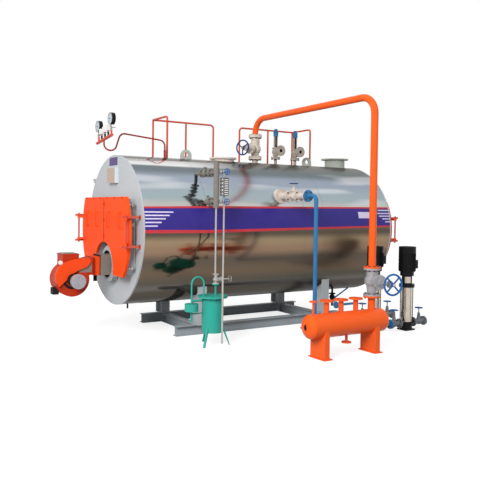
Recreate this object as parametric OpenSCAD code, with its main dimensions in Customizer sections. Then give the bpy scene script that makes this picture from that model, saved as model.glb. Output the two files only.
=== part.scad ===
// Horizontal fire-tube steam boiler on its skid, with burner, steam header,
// feed pumps and fittings. Millimetres. X runs along the boiler from the front
// plate to the rear plate, -Y is the fittings side, Z is up.
// The origin is under the middle of the front cross beam, on the floor.

/* [Shell] */
// Outer radius of the cladding
shell_r = 1000; // [960:5:1040]
// Length over the end plates
shell_l = 4130; // [4060:10:4300]
// Height of the shell axis over the floor
axis_z = 1395; // [1380:5:1450]
// Thickness of the insulated shell wall
shell_wall = 90; // [60:5:130]
// Thickness of the end plates
end_t = 20; // [12:1:30]

/* [Skid] */
// Height of the skid beams
beam_h = 132; // [120:2:140]
// Width of the beam flanges
beam_w = 105; // [90:5:120]
// Thickness of the beam flanges
beam_tf = 10; // [7:1:14]
// Thickness of the beam webs
beam_tw = 8; // [6:1:10]
// Distance of the rail centres from the boiler centre
rail_y = 557; // [540:5:600]
// Front end of the rails, behind the front plate
rail_x0 = 650; // [500:10:700]
// Length of the rails
rail_l = 2810; // [2700:10:2900]
// Distance from the front plate to the front cross beam
front_beam_x = 1000; // [940:10:1040]
// Distance from the front plate to the rear cross beam
rear_beam_x = 3120; // [3060:10:3200]
// Width of the saddle posts along the boiler
post_w = 136; // [120:2:150]
// Depth of the saddle posts across the boiler
post_d = 200; // [180:5:220]

/* [Smokeboxes and doors] */
// Depth of the smokeboxes
box_d = 100; // [80:5:120]
// Width of the smokeboxes
box_w = 1490; // [1420:10:1540]
// Sheet thickness of the smokeboxes
box_t = 12; // [8:1:16]
// Outer radius of the door leaves
door_r = 885; // [860:5:900]
// Height of the top edge of the doors
door_top = 1831; // [1800:1:1850]
// Height of the bottom edge of the doors
door_low = 826; // [800:1:850]
// Thickness of the door leaves
door_t = 35; // [25:1:40]
// Gap between the smokebox rim and the doors
door_gap = 5; // [5:0.5:8]
// Gap between the two leaves
leaf_gap = 9.2; // [9.2:0.1:14]
// Radius of the arch over the burner
arch_r = 345; // [320:5:360]
// Height of the arch centre
arch_z = 895; // [880:5:920]
// Number of rod handles on each front leaf
handle_n = 2; // [1:1:2]

/* [Hinges] */
// Distance of the hinge pins from the boiler centre
pin_y = 900; // [900:5:915]
// Distance of the hinge pins in front of the end plates
pin_x = 190; // [185:1:200]
// Radius of the hinge pins
pin_r = 12; // [9:0.5:14]
// Running clearance round the hinge pins
pin_gap = 0.5; // [0.3:0.1:0.6]
// Height of the lower hinge arm
arm_z1 = 1220; // [1190:5:1250]
// Height of the upper hinge arm
arm_z2 = 1580; // [1550:5:1600]
// Thickness of the hinge arms
arm_t = 28; // [20:1:32]

/* [Burner] */
// Height of the burner duct
burner_z = 940; // [930:5:950]
// Width of the square burner duct
duct_w = 265; // [240:5:280]
// Radius of the fan housing
fan_r = 216; // [200:2:226]
// Width of the fan housing
fan_w = 300; // [260:10:320]
// Distance of the fan centre in front of the front plate
fan_x = 598; // [590:1:610]
// Height of the fan centre
fan_z = 767; // [755:1:780]
// Radius of the fan motor
fan_motor_r = 78; // [60:2:84]

/* [Steam pipe and header] */
// Outer radius of the steam pipe
steam_r = 44.5; // [40:0.5:50]
// Bend radius of the steam pipe
steam_bend = 215; // [190:5:225]
// Height of the steam pipe's long run over the shell, at the boiler
steam_h = 657; // [650:1:690]
// Rise of the steam pipe's long run to the header side
steam_rise = 26; // [0:2:40]
// Distance of the main steam valve from the front plate
valve_x = 2253; // [2200:1:2280]
// Distance of the header valve from the front plate
header_valve_x = 2350; // [2320:1:2360]
// Distance of the header from the boiler centre
header_y = 2445; // [2400:5:2500]
// Height of the header axis
header_z = 372; // [360:2:400]
// Outer radius of the header
header_r = 140; // [130:1:145]
// Front end of the straight header shell
header_x0 = 1420; // [1400:5:1440]
// Length of the straight header shell
header_l = 1067; // [1040:1:1100]
// Depth of the dished header ends
dish_d = 70; // [50:1:80]
// Top of the header nozzle flanges
nozzle_top = 664; // [650:1:690]

/* [Flanges] */
// Radius of the large steam flanges
flange80_r = 100; // [92:1:105]
// Thickness of the large steam flanges
flange80_t = 22; // [18:1:26]
// Radius of the middle flanges
flange50_r = 82.5; // [76:0.5:86]
// Thickness of the middle flanges
flange50_t = 18; // [14:1:22]
// Radius of the small flanges
flange25_r = 57.5; // [52:0.5:60]
// Thickness of the small flanges
flange25_t = 16; // [12:1:18]

/* [Valves] */
// Face to face length of the large valves
valve80_l = 330; // [325:1:335]
// Distance from the main steam valve to its handwheel
main_stem = 325; // [310:5:340]
// Distance from the header valve to its handwheel
header_stem = 415; // [400:5:430]
// Radius of the large handwheels
wheel80_r = 128; // [115:1:135]
// Clearance round the handwheel stems
stem_gap = 0.4; // [0.3:0.05:0.6]

/* [Top fittings] */
// Distance of the flue from the front plate
flue_x = 3830; // [3800:5:3850]
// Outer radius of the flue stub
flue_r = 162.5; // [150:0.5:165]
// Radius of the flue flange
flue_flange_r = 225; // [215:1:235]
// Height of the flue flange over the shell
flue_h = 137; // [120:1:160]
// Distance of the manway from the front plate
manway_x = 1685; // [1650:5:1700]
// Radius of the manway cover
manway_r = 200; // [180:5:210]
// Height of the manway cover over the shell
manway_h = 50; // [40:1:65]
// Distance of the front lifting lug from the front plate
lug_x1 = 1073; // [1040:1:1100]
// Distance of the rear lifting lug from the front plate
lug_x2 = 3245; // [3220:1:3280]
// Distance of the front safety valve from the front plate
safety_x1 = 2635; // [2600:1:2660]
// Distance of the rear safety valve from the front plate
safety_x2 = 3010; // [2990:1:3040]

/* [Handrails] */
// Radius of the handrail tube
rail_tube_r = 14; // [11:0.5:17]
// Height of the handrails over the shell
handrail_h = 593; // [560:2:620]
// Distance of the far posts from the boiler centre
handrail_y = 530; // [480:5:560]
// Distance of the middle posts from the boiler centre
handrail_y0 = 45; // [30:5:60]

/* [Water level set] */
// Distance of the water column from the front plate
column_x = 888; // [870:1:910]
// Distance of the water column from the side of the shell
column_out = 200; // [190:5:215]
// Radius of the water column
column_r = 35; // [30:1:38]
// Height of the upper connection
column_z2 = 2150; // [2135:5:2165]
// Height of the lower connection
column_z1 = 1784; // [1772:2:1796]

/* [Feed line] */
// Distance of the feed nozzle from the front plate
feed_x = 2095; // [2070:5:2120]
// Height of the feed nozzle
feed_z = 1878; // [1870:2:1886]
// Outer radius of the feed pipe
feed_r = 27; // [24:0.5:28]
// Height of the second feed line
feed_line_z = 358; // [350:2:366]

/* [Pumps] */
// Distance of the near pump from the front plate
pump1_x = 3768; // [3750:2:3780]
// Distance of the near pump from the boiler centre
pump1_y = 1680; // [1660:5:1720]
// Distance of the far pump from the front plate
pump2_x = 3580; // [3570:2:3600]
// Distance of the far pump from the boiler centre
pump2_y = 1240; // [1230:5:1260]
// Height of the pump ports over the pump base
port_z = 104; // [100:1:108]
// Height of the plinth under the far pump
plinth_h = 46; // [40:2:52]
// Radius of the pump sleeve
sleeve_r = 76; // [70:1:80]
// Radius of the pump motor
motor_r = 120; // [105:1:124]
// Height of the near pump
pump1_h = 1190; // [1160:5:1210]
// Height of the far pump over its plinth
pump2_h = 1125; // [1100:5:1150]

/* [Condensate pot] */
// Distance of the pot from the front plate
pot_x = 830; // [820:5:840]
// Distance of the pot from the boiler centre
pot_y = 1245; // [1235:5:1255]
// Radius of the pot
pot_r = 135; // [125:1:140]
// Underside of the pot
pot_z = 165; // [155:1:180]
// Height of the pot body
pot_h = 430; // [410:5:440]

/* [Hidden] */
$fn = 48;

orange = [1.0, 0.33, 0.13];
red_oxide = [0.78, 0.30, 0.22];
steel_grey = [0.60, 0.64, 0.68];
plate_grey = [0.74, 0.77, 0.79];
cast_grey = [0.62, 0.60, 0.57];
blue = [0.20, 0.48, 0.78];
navy = [0.08, 0.15, 0.36];
teal = [0.24, 0.71, 0.65];
black = [0.07, 0.07, 0.08];

// Running gap at curved seats
seat = 0.3;
shell_top = axis_z + shell_r;
leaf_x0 = box_d + door_gap;
box_r = 860;
box_inset = 26;
stem80_r = 9;
pipe80_bore = 40;
smokebox_top = door_top - box_inset;
smokebox_low = door_low + box_inset;
arm_reach = pin_x + 50;
knuckle_r = 22;
strap_h = 26;
valve80_z0 = shell_top + 75;
header_valve_z0 = nozzle_top + 10;
main_dir = 202;
main_drop = 30;
header_dir = 261;
header_lift = 11;
flue_top = shell_top + flue_h;
manway_top = shell_top + manway_h;
handrail_z = shell_top + handrail_h;
column_y = shell_r + column_out;
feed_stem_y = shell_r + 200;
feed_end_y = shell_r + 503;
feed_wheel_z = feed_z + 170;
port_out_near = 310;
port_out_far = 360;
stem_near = 243;
stem_far = 255;
pump_stem = 193;
lever_x = shell_l - 630;
lever_y = 380;
lever_z = 318;
lever_tilt = 27.5;
lever_l = 310;
handrail_x1 = 797;
handrail_x2 = 1340;
handrail_x3 = 1818;
handrail_x4 = 2300;
handrail_x5 = 2850;
handrail_x6 = 3345;
bar_x = 146;
bar_y = 17;
bar_z = shell_top + 202;
bar_l = 564;
bar_tilt = 6.7;
gauge_r = 78;
gauge_lift = 216;
gauge_ys = [-262, 215];

function unit(v) = v / norm(v);
// Height of the cladding surface at a distance from the boiler centre
function clad_z(y) = axis_z - sqrt(shell_r * shell_r - y * y);
function clad_y(z) = sqrt(shell_r * shell_r - pow(z - axis_z, 2));

// Everything is laid out from the front plate
module from_plate() {
    translate([-front_beam_x, 0, 0]) children();
}

// A flat outline drawn in Y and Z, given thickness along X
module slab_x(x, t) {
    translate([x, 0, 0]) rotate([90, 0, 90]) linear_extrude(t) children();
}

// A flat outline drawn in X and Z, given thickness towards -Y
module slab_y(y, t) {
    translate([0, y, 0]) rotate([90, 0, 0]) linear_extrude(t) children();
}

module rod(a, b, r) {
    d = b - a;
    translate(a) rotate([0, acos(d.z / norm(d)), atan2(d.y, d.x)])
        cylinder(h = norm(d), r = r);
}

// A round bend between three points
module elbow(p0, p1, p2, r, bend) {
    u = unit(p1 - p0);
    v = unit(p2 - p1);
    turn = acos(u * v);
    n = unit(v - (u * v) * u);
    c = p1 - u * bend * tan(turn / 2) + n * bend;
    w = cross(-n, u);
    multmatrix([[-n.x, u.x, w.x, c.x], [-n.y, u.y, w.y, c.y], [-n.z, u.z, w.z, c.z]])
        rotate_extrude(angle = turn) translate([bend, 0]) circle(r);
}

function trim_at(p, i, bend) = (i == 0 || i == len(p) - 1) ? 0
    : bend * tan(acos(unit(p[i] - p[i - 1]) * unit(p[i + 1] - p[i])) / 2);

// A round bar or pipe along a line of points, with equal bends.
// Each bend is joined to the straight pieces by a low weld bead.
module pipe(p, r, bend, bead = 0) {
    for (i = [0 : len(p) - 2]) {
        u = unit(p[i + 1] - p[i]);
        a = p[i] + u * trim_at(p, i, bend);
        b = p[i + 1] - u * trim_at(p, i + 1, bend);
        rod(a, b, r);
        if (bead > 0 && i > 0) rod(a - u * 3, a + u * 3, r + bead);
        if (bead > 0 && i < len(p) - 2) rod(b - u * 3, b + u * 3, r + bead);
    }
    if (len(p) > 2) for (i = [1 : len(p) - 2]) elbow(p[i - 1], p[i], p[i + 1], r, bend);
}

// The room that the cladding takes, with the gap at curved seats
module shell_room(gap = seat) {
    translate([-1, 0, axis_z]) rotate([0, 90, 0])
        cylinder(h = shell_l + 2, r = shell_r + gap, $fn = 240);
}

module on_shell() {
    difference() {
        children();
        shell_room();
    }
}

// A round flange with bolt holes, standing on z = 0
module flange(r, t, bore, pcd = 0, holes = 0, hole_r = 9) {
    difference() {
        cylinder(h = t, r = r);
        translate([0, 0, -1]) cylinder(h = t + 2, r = bore);
        if (holes > 0) for (i = [0 : holes - 1])
            rotate([0, 0, (i + 0.5) * 360 / holes]) translate([pcd / 2, 0, -1])
                cylinder(h = t + 2, r = hole_r);
    }
}

// A handwheel whose stem runs along Z through its middle
module handwheel(r, rim, hub_r, hub_h, bore, spokes) {
    difference() {
        union() {
            rotate_extrude() translate([r - rim, 0]) circle(rim);
            translate([0, 0, -hub_h / 2]) cylinder(h = hub_h, r = hub_r);
            for (i = [0 : spokes - 1]) rotate([0, 0, i * 360 / spokes])
                translate([0, -rim * 0.7, -rim * 0.5]) cube([r - rim, rim * 1.4, rim]);
        }
        if (bore > 0) translate([0, 0, -hub_h]) cylinder(h = 2 * hub_h, r = bore);
    }
}

// A globe valve with its flow along Z and its stem along X, rise over its middle
module globe_valve(l, fr, ft, body_r, stem_l, stem_r, bonnet_r, rise) {
    mid = l / 2 + rise;
    cylinder(h = ft, r = fr);
    translate([0, 0, l - ft]) cylinder(h = ft, r = fr);
    translate([0, 0, ft - 1]) cylinder(h = mid - ft + 1, r1 = body_r * 0.62, r2 = body_r * 0.8);
    translate([0, 0, mid]) cylinder(h = l - mid - ft + 1, r = body_r * 0.78);
    translate([0, 0, mid]) {
        sphere(body_r);
        rotate([0, 90, 0]) {
            cylinder(h = stem_l * 0.36, r = bonnet_r * 1.3);
            translate([0, 0, stem_l * 0.34]) cylinder(h = ft * 1.5, r = bonnet_r * 1.9);
            cylinder(h = stem_l * 0.54, r = bonnet_r);
            cylinder(h = stem_l - 20, r = stem_r * 2);
            cylinder(h = stem_l + 14, r = stem_r);
            for (s = [-1, 1]) translate([-8, s * bonnet_r * 0.7 - 7, stem_l * 0.5])
                cube([16, 14, stem_l * 0.38]);
            translate([0, 0, stem_l * 0.82]) cylinder(h = 18, r = bonnet_r * 0.95);
        }
    }
}

module i_section() {
    h = beam_h;
    w = beam_w;
    polygon([[-w / 2, 0], [w / 2, 0], [w / 2, beam_tf], [beam_tw / 2, beam_tf],
        [beam_tw / 2, h - beam_tf], [w / 2, h - beam_tf], [w / 2, h], [-w / 2, h],
        [-w / 2, h - beam_tf], [-beam_tw / 2, h - beam_tf], [-beam_tw / 2, beam_tf],
        [-w / 2, beam_tf]]);
}

module shell() {
    color([0.80, 0.82, 0.85]) from_plate()
        translate([end_t, 0, axis_z]) rotate([0, 90, 0]) difference() {
            cylinder(h = shell_l - 2 * end_t, r = shell_r, $fn = 96);
            translate([0, 0, -1])
                cylinder(h = shell_l, r = shell_r - shell_wall, $fn = 96);
        }
}

module front_plate() {
    color(plate_grey) from_plate() slab_x(0, end_t) translate([0, axis_z])
        circle(shell_r, $fn = 96);
}

module rear_plate() {
    color(plate_grey) from_plate() slab_x(shell_l - end_t, end_t) translate([0, axis_z])
        circle(shell_r, $fn = 96);
}

// Outline of a smokebox, shrunk by an inset, with or without the burner arch
module smokebox_outline(inset, arch) {
    difference() {
        intersection() {
            translate([0, axis_z]) circle(box_r - inset, $fn = 96);
            translate([-box_w / 2 + inset, smokebox_low + inset])
                square([box_w - 2 * inset, smokebox_top - smokebox_low - 2 * inset]);
        }
        if (arch) arch_room(arch_r + inset + 5);
    }
}

module arch_room(r) {
    translate([0, arch_z]) circle(r, $fn = 96);
    translate([-r, 0]) square([2 * r, arch_z]);
}

module smokebox_ring(arch) {
    difference() {
        smokebox_outline(0, arch);
        smokebox_outline(box_t, arch);
    }
}

module front_smokebox() {
    color(steel_grey) from_plate() slab_x(-box_d, box_d) smokebox_ring(true);
}

module rear_smokebox() {
    color(steel_grey) from_plate() slab_x(shell_l, box_d) smokebox_ring(false);
}

tube_r = 25;
tube_pitch = 92;

// The tube ends that show when the front doors are open
module tube_plate() {
    color(cast_grey) from_plate() slab_x(-16, 16) difference() {
        smokebox_outline(box_t + 1, true);
        for (row = [0 : 4]) for (i = [-6 : 6])
            translate([(i + (row % 2) / 2) * tube_pitch, 1330 + row * tube_pitch * 0.87])
                if (abs(i + (row % 2) / 2) * tube_pitch < 590) circle(tube_r);
    }
}

// Two hinge arms and their pin, on the side s
module davit(s) {
    for (z = [arm_z1, arm_z2]) translate([0, s * pin_y, z - arm_t / 2]) {
        translate([-arm_reach, -arm_t / 2, 0]) cube([arm_reach, arm_t, arm_t]);
        translate([-pin_x, 0, 0]) cylinder(h = arm_t, r = knuckle_r);
        translate([-12, -24, -10]) cube([12, 48, arm_t + 20]);
    }
    translate([-pin_x, s * pin_y, arm_z1 - 30]) cylinder(h = arm_z2 - arm_z1 + 60, r = pin_r);
}

module front_davits() {
    color(red_oxide) from_plate() for (s = [-1, 1]) davit(s);
}

module rear_davits() {
    color(red_oxide) from_plate() translate([shell_l, 0, 0]) mirror([1, 0, 0])
        for (s = [-1, 1]) davit(s);
}

// One door leaf on the side s, in front of an end plate at x = 0
module door_leaf(s, arch, handles) {
    difference() {
        union() {
            slab_x(-leaf_x0 - door_t, door_t) difference() {
                intersection() {
                    translate([0, axis_z]) circle(door_r, $fn = 96);
                    translate([s > 0 ? leaf_gap / 2 : -door_r, door_low])
                        square([door_r - leaf_gap / 2, door_top - door_low]);
                }
                if (arch) arch_room(arch_r);
            }
            for (z = [arm_z1 + arm_t / 2 + seat, arm_z2 - arm_t / 2 - seat - strap_h])
                translate([0, 0, z]) hinge_strap(s);
        }
        translate([-pin_x, s * pin_y, arm_z1]) cylinder(h = arm_z2 - arm_z1, r = pin_r + pin_gap);
    }
    if (handles) for (i = [0 : handle_n - 1])
        rod_handle(s * (220 + i * 390), -leaf_x0 - door_t);
}

module hinge_strap(s) {
    face = leaf_x0 + door_t;
    translate([-pin_x, s * pin_y, 0]) cylinder(h = strap_h, r = knuckle_r);
    linear_extrude(strap_h) polygon([[-pin_x - 14, s * (pin_y - 17)],
        [-pin_x + 18, s * (pin_y - 8)], [-face, s * (pin_y - 60)],
        [-face, s * (pin_y - 190)], [-face - 12, s * (pin_y - 190)],
        [-face - 16, s * (pin_y - 90)]]);
}

module rod_handle(y, face) {
    pipe([[face + 1, y, 1440], [face - 45, y, 1440], [face - 45, y, 1630],
        [face + 1, y, 1630]], 7, 18);
}

module front_door_near() {
    color(orange) from_plate() door_leaf(-1, true, true);
}

module front_door_far() {
    color(orange) from_plate() door_leaf(1, true, true);
}

module rear_door_near() {
    color(orange) from_plate() translate([shell_l, 0, 0]) mirror([1, 0, 0])
        door_leaf(-1, false, false);
}

module rear_door_far() {
    color(orange) from_plate() translate([shell_l, 0, 0]) mirror([1, 0, 0])
        door_leaf(1, false, false);
}

module rails() {
    color(steel_grey) from_plate() for (s = [-1, 1])
        translate([rail_x0, s * rail_y, 0]) rotate([90, 0, 90])
            linear_extrude(rail_l) i_section();
}

module cross_beams() {
    span = 2 * (rail_y - beam_w / 2);
    color(steel_grey) from_plate() for (x = [front_beam_x, rear_beam_x])
        translate([x, span / 2, 0]) rotate([90, 0, 0]) linear_extrude(span) i_section();
}

// One upright post with flanges that carries the shell, on the side s
module saddle_post(x, s) {
    translate([x, s * (rail_y + 10), beam_h]) {
        for (d = [-1, 1]) translate([-post_w / 2, d * (post_d / 2 - 6) - 6, 0])
            cube([post_w, 12, axis_z]);
        translate([-5, -post_d / 2 + 6, 0]) cube([10, post_d - 12, axis_z]);
        translate([-post_w / 2, -beam_w / 2, 0]) cube([post_w, beam_w, 12]);
    }
}

module saddles() {
    color(plate_grey) from_plate() difference() {
        for (x = [front_beam_x, rear_beam_x]) for (s = [-1, 1]) saddle_post(x, s);
        shell_room();
        translate([0, -shell_r * 1.2, axis_z]) cube([shell_l, shell_r * 2.4, axis_z]);
    }
}

module burner_duct() {
    neck_w = 250;
    color([0.68, 0.66, 0.62]) from_plate() {
        translate([-12, 0, burner_z]) rotate([0, 90, 0]) cylinder(h = 12, r = 250);
        translate([-232, -duct_w / 2, burner_z - duct_w / 2])
            cube([220, duct_w, duct_w]);
        translate([-325, -neck_w / 2, burner_z - 130]) cube([93, neck_w, 240]);
    }
}

module burner_fan() {
    color([0.80, 0.25, 0.12]) from_plate() {
        translate([-fan_x, fan_w / 2, fan_z]) rotate([90, 0, 0]) cylinder(h = fan_w, r = fan_r);
        slab_y(fan_w / 2, fan_w) polygon([[-fan_x, fan_z + fan_r - 4], [-325, fan_z + 275],
            [-325, burner_z - 110], [-fan_x + 180, fan_z + 40], [-fan_x, fan_z]]);
        translate([-722, -125, fan_z + 140]) cube([208, 250, 178]);
        translate([-732, -130, fan_z + 318]) cube([226, 260, 10]);
    }
}

module burner_cover() {
    color(orange) from_plate() slab_y(-fan_w / 2, 28) difference() {
        translate([-fan_x, fan_z]) scale(fan_r / 216) polygon([[-184, -83], [-224, -7],
            [-230, 83], [-195, 158], [-115, 223], [-22, 255], [78, 269], [203, 269],
            [234, 229], [172, 160], [69, 121], [27, 101]]);
        translate([-fan_x, fan_z]) circle(fan_motor_r + 6);
    }
}

module burner_motor() {
    color([0.75, 0.76, 0.78]) from_plate() translate([-fan_x, -fan_w / 2, fan_z])
        rotate([90, 0, 0]) {
            cylinder(h = 190, r = fan_motor_r);
            translate([0, 0, 186]) cylinder(h = 60, r = fan_motor_r + 14);
        }
}

module instrument_box() {
    color([0.76, 0.73, 0.72]) from_plate() translate([-52, -152, 2020])
        cube([52, 285, 205]);
}

// Bent syphon pipe from a socket on the shell to the gauge bar
module gauge_pipe() {
    tube = 11;
    top = shell_top + 237;
    color(red_oxide) from_plate() {
        on_shell() rod([740, 0, shell_top - 30], [740, 0, shell_top + 110], 16);
        pipe([[740, 0, shell_top + 110], [740, 0, top], [85, 0, top + 63],
            [8, 0, shell_top + 60], [-bar_x, 0, shell_top + 60], [-bar_x, 0, bar_z - 17]],
            tube, 84, 0.5);
        translate([-bar_x, -bar_y, bar_z]) rotate([-bar_tilt, 0, 0]) {
            rotate([90, 0, 0]) translate([0, 0, -bar_l / 2]) cylinder(h = bar_l, r = 20);
            for (y = [-262, -149, -26, 97, 215]) translate([0, y, 0]) cylinder(h = 62, r = 13);
        }
    }
}

// Two dial gauges, each on a cock that stands on a socket of the bar
module gauges() {
    color(black) from_plate() translate([-bar_x, -bar_y, bar_z]) rotate([-bar_tilt, 0, 0])
        for (y = gauge_ys) translate([0, y, 0]) {
            translate([0, 0, 62]) cylinder(h = gauge_lift - 100, r = 8);
            translate([0, 0, 62]) cylinder(h = 12, r = 15);
            translate([0, 0, 96]) sphere(17);
            translate([-12, 0, gauge_lift]) rotate([0, 90, 0]) cylinder(h = 50, r = gauge_r);
        }
}

// Posts that stand on the shell, joined by a level top tube
module handrail(x_near, xs, x_bend) {
    far = handrail_y;
    on_shell() {
        pipe([[x_near, handrail_y0, shell_top - 100],
            [x_near, handrail_y0, handrail_z], [x_near, far, handrail_z]],
            rail_tube_r, 45);
        pipe([[x_near, far, handrail_z], [x_bend, far, handrail_z],
            [x_bend, far, shell_top - 300]], rail_tube_r, 55);
        for (x = xs) rod([x, far, shell_top - 300], [x, far, handrail_z], rail_tube_r);
    }
}

module front_handrail() {
    color(red_oxide) from_plate()
        handrail(handrail_x1, [handrail_x1, handrail_x2], handrail_x3);
}

module rear_handrail() {
    color(red_oxide) from_plate()
        handrail(handrail_x6, [handrail_x6, handrail_x5], handrail_x4);
}

module manway() {
    color(cast_grey) from_plate() on_shell() translate([manway_x, 0, 0]) {
        translate([0, 0, shell_top - 60]) cylinder(h = manway_top - shell_top + 40, r = 165);
        translate([0, 0, manway_top - 22]) cylinder(h = 22, r = manway_r);
    }
}

module lifting_lugs() {
    w = 172;
    color(cast_grey) from_plate() on_shell() for (x = [lug_x1, lug_x2])
        slab_y(12, 24) difference() {
            union() {
                translate([x - w / 2, shell_top - 10]) square([w, 60]);
                translate([x, shell_top + 50]) circle(w / 2);
            }
            translate([x, shell_top + 62]) circle(35);
        }
}

module main_steam_valve() {
    stub_h = valve80_z0 - flange80_t - shell_top + 40;
    color(cast_grey) from_plate() {
        on_shell() translate([valve_x, 0, shell_top - 40]) cylinder(h = stub_h, r = steam_r);
        translate([valve_x, 0, valve80_z0]) rotate([0, 0, main_dir]) {
            translate([0, 0, -flange80_t]) cylinder(h = flange80_t, r = flange80_r);
            globe_valve(valve80_l, flange80_r, flange80_t, 86, main_stem, stem80_r, 42,
                -main_drop);
        }
    }
}

main_wheel_z = valve80_z0 + valve80_l / 2 - main_drop;
header_wheel_z = header_valve_z0 + valve80_l / 2 + header_lift;

module main_wheel() {
    color(navy) from_plate() translate([valve_x, 0, main_wheel_z])
        rotate([0, 0, main_dir]) translate([main_stem, 0, 0]) rotate([0, 90, 0])
            handwheel(wheel80_r - 10, 11, 20, 22, stem80_r + stem_gap, 3);
}

module header_wheel() {
    color(blue) from_plate() translate([header_valve_x, -header_y, header_wheel_z])
        rotate([0, 0, header_dir]) translate([header_stem, 0, 0]) rotate([0, 90, 0])
            rotate([0, 0, 45]) handwheel(wheel80_r + 2, 12, 24, 22, stem80_r + stem_gap, 4);
}

module steam_pipe() {
    low = valve80_z0 + valve80_l;
    end = header_valve_z0 + valve80_l;
    run_z = shell_top + steam_h;
    color(orange) from_plate() {
        pipe([[valve_x, 0, low + flange80_t], [valve_x, 0, run_z],
            [header_valve_x, -header_y, run_z + steam_rise],
            [header_valve_x, -header_y, end + flange80_t]], steam_r, steam_bend, 1.2);
        translate([valve_x, 0, low]) cylinder(h = flange80_t, r = flange80_r);
        translate([header_valve_x, -header_y, end]) cylinder(h = flange80_t, r = flange80_r);
    }
}

module header_valve() {
    color([0.66, 0.66, 0.68]) from_plate()
        translate([header_valve_x, -header_y, header_valve_z0]) rotate([0, 0, header_dir])
            globe_valve(valve80_l, flange80_r, flange80_t, 88, header_stem, stem80_r, 46,
                header_lift);
}

nozzle50_x = [1652, 1869, 2097];
nozzle15_x = 1457;
drain_x = 1960;
drain_z = 141;

nozzle_floor = header_z + header_r + 8;

// A header nozzle with its flange, hollow from the flange down to nozzle_floor
module nozzle(x, pipe_r, bore, fr, ft, pcd, hole_r) {
    translate([x, -header_y, 0]) difference() {
        union() {
            translate([0, 0, header_z]) cylinder(h = nozzle_top - header_z - ft, r = pipe_r);
            translate([0, 0, nozzle_top - ft]) flange(fr, ft, bore, pcd, 4, hole_r);
        }
        translate([0, 0, nozzle_floor]) cylinder(h = nozzle_top, r = bore);
    }
}

module header_nozzles() {
    color(orange) from_plate() difference() {
        union() {
            nozzle(nozzle15_x, 12, 8, 47, 14, 65, 7);
            for (x = nozzle50_x) nozzle(x, 30, 27, flange50_r, flange50_t, 125, 9);
        }
        translate([header_x0 - 100, -header_y, header_z]) rotate([0, 90, 0])
            cylinder(h = header_l + 200, r = header_r + seat, $fn = 72);
    }
}

module steam_header() {
    color(orange) from_plate() {
        translate([header_x0, -header_y, header_z]) rotate([0, 90, 0]) rotate_extrude($fn = 72)
            intersection() {
                translate([0, -dish_d]) square([header_r, header_l + 2 * dish_d]);
                union() {
                    square([header_r, header_l]);
                    scale([1, dish_d / header_r]) circle(header_r);
                    translate([0, header_l]) scale([1, dish_d / header_r]) circle(header_r);
                }
            }
        translate([header_valve_x, -header_y, header_z])
            cylinder(h = header_valve_z0 - header_z, r = steam_r);
        translate([header_valve_x, -header_y, header_valve_z0 - flange80_t])
            cylinder(h = flange80_t, r = flange80_r);
        translate([drain_x, -header_y, drain_z]) {
            cylinder(h = header_z - drain_z, r = 16.8);
            flange(flange25_r, flange25_t, 6, 85, 4, 7);
        }
    }
}

leg_x = [1530, 2305];
leg_w = 66;
leg_d = 266;

// Channel legs with a cradle cut for the header
module header_legs() {
    color(orange) from_plate() difference() {
        for (x = leg_x) translate([x, -header_y, 0]) {
            translate([-22, -145, 0]) cube([126, 290, 12]);
            translate([0, -leg_d / 2, 12]) cube([10, leg_d, header_z - 12]);
            for (s = [-1, 1]) translate([0, s * (leg_d / 2 - 4) - 4, 12])
                cube([leg_w, 8, header_z - 30]);
        }
        translate([header_x0 - 100, -header_y, header_z]) rotate([0, 90, 0])
            cylinder(h = header_l + 200, r = header_r + seat, $fn = 72);
    }
}

// One spring safety valve standing on z = 0, with its outlet towards -Y
module safety_valve() {
    cylinder(h = 16, r = 70);
    translate([0, 0, 16]) cylinder(h = 30, r = 33);
    translate([0, 0, 98]) sphere(58);
    translate([0, 0, 40]) cylinder(h = 112, r = 46);
    translate([0, 0, 146]) cylinder(h = 16, r = 56);
    translate([0, 0, 162]) cylinder(h = 180, r = 24);
    for (a = [25 : 90 : 295]) rotate([0, 0, a]) translate([27, 0, 160]) cylinder(h = 182, r = 8);
    translate([0, 0, 338]) cylinder(h = 76, r = 38);
    translate([0, 0, 412]) cylinder(h = 36, r = 26);
    translate([0, 0, safety_out]) rotate([90, 0, 0]) difference() {
        union() {
            cylinder(h = 126, r = 36);
            translate([0, 0, 126]) cylinder(h = 18, r = flange50_r);
        }
        translate([0, 0, 80]) cylinder(h = 80, r = 25);
        for (a = [45 : 90 : 315]) rotate([0, 0, a]) translate([62.5, 0, 120])
            cylinder(h = 40, r = 9);
    }
}

// Underside of the safety valves and height of their outlets over it
safety_z = shell_top + 95;
safety_out = 107;

module safety_valves() {
    color(cast_grey) from_plate() {
        on_shell() for (x = [safety_x1, safety_x2])
            translate([x, 0, shell_top - 20]) cylinder(h = safety_z - shell_top + 6, r = 24);
        for (x = [safety_x1, safety_x2]) {
            translate([x, 0, safety_z - 16]) cylinder(h = 16, r = 70);
            translate([x, 0, safety_z]) safety_valve();
        }
    }
}

flue_t = 16;
flue_floor = 8;

module flue_outlet() {
    color([0.64, 0.62, 0.60]) from_plate() on_shell() translate([flue_x, 0, 0]) difference() {
        union() {
            translate([0, 0, shell_top - 30]) cylinder(h = flue_top - shell_top + 20, r = flue_r);
            translate([0, 0, flue_top - flue_t])
                flange(flue_flange_r, flue_t, flue_r - 8, 400, 12, 11);
        }
        translate([0, 0, shell_top + flue_floor]) cylinder(h = flue_top, r = flue_r - 8);
    }
}

// Underside of the water column
column_low = column_z1 - 79;

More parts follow.
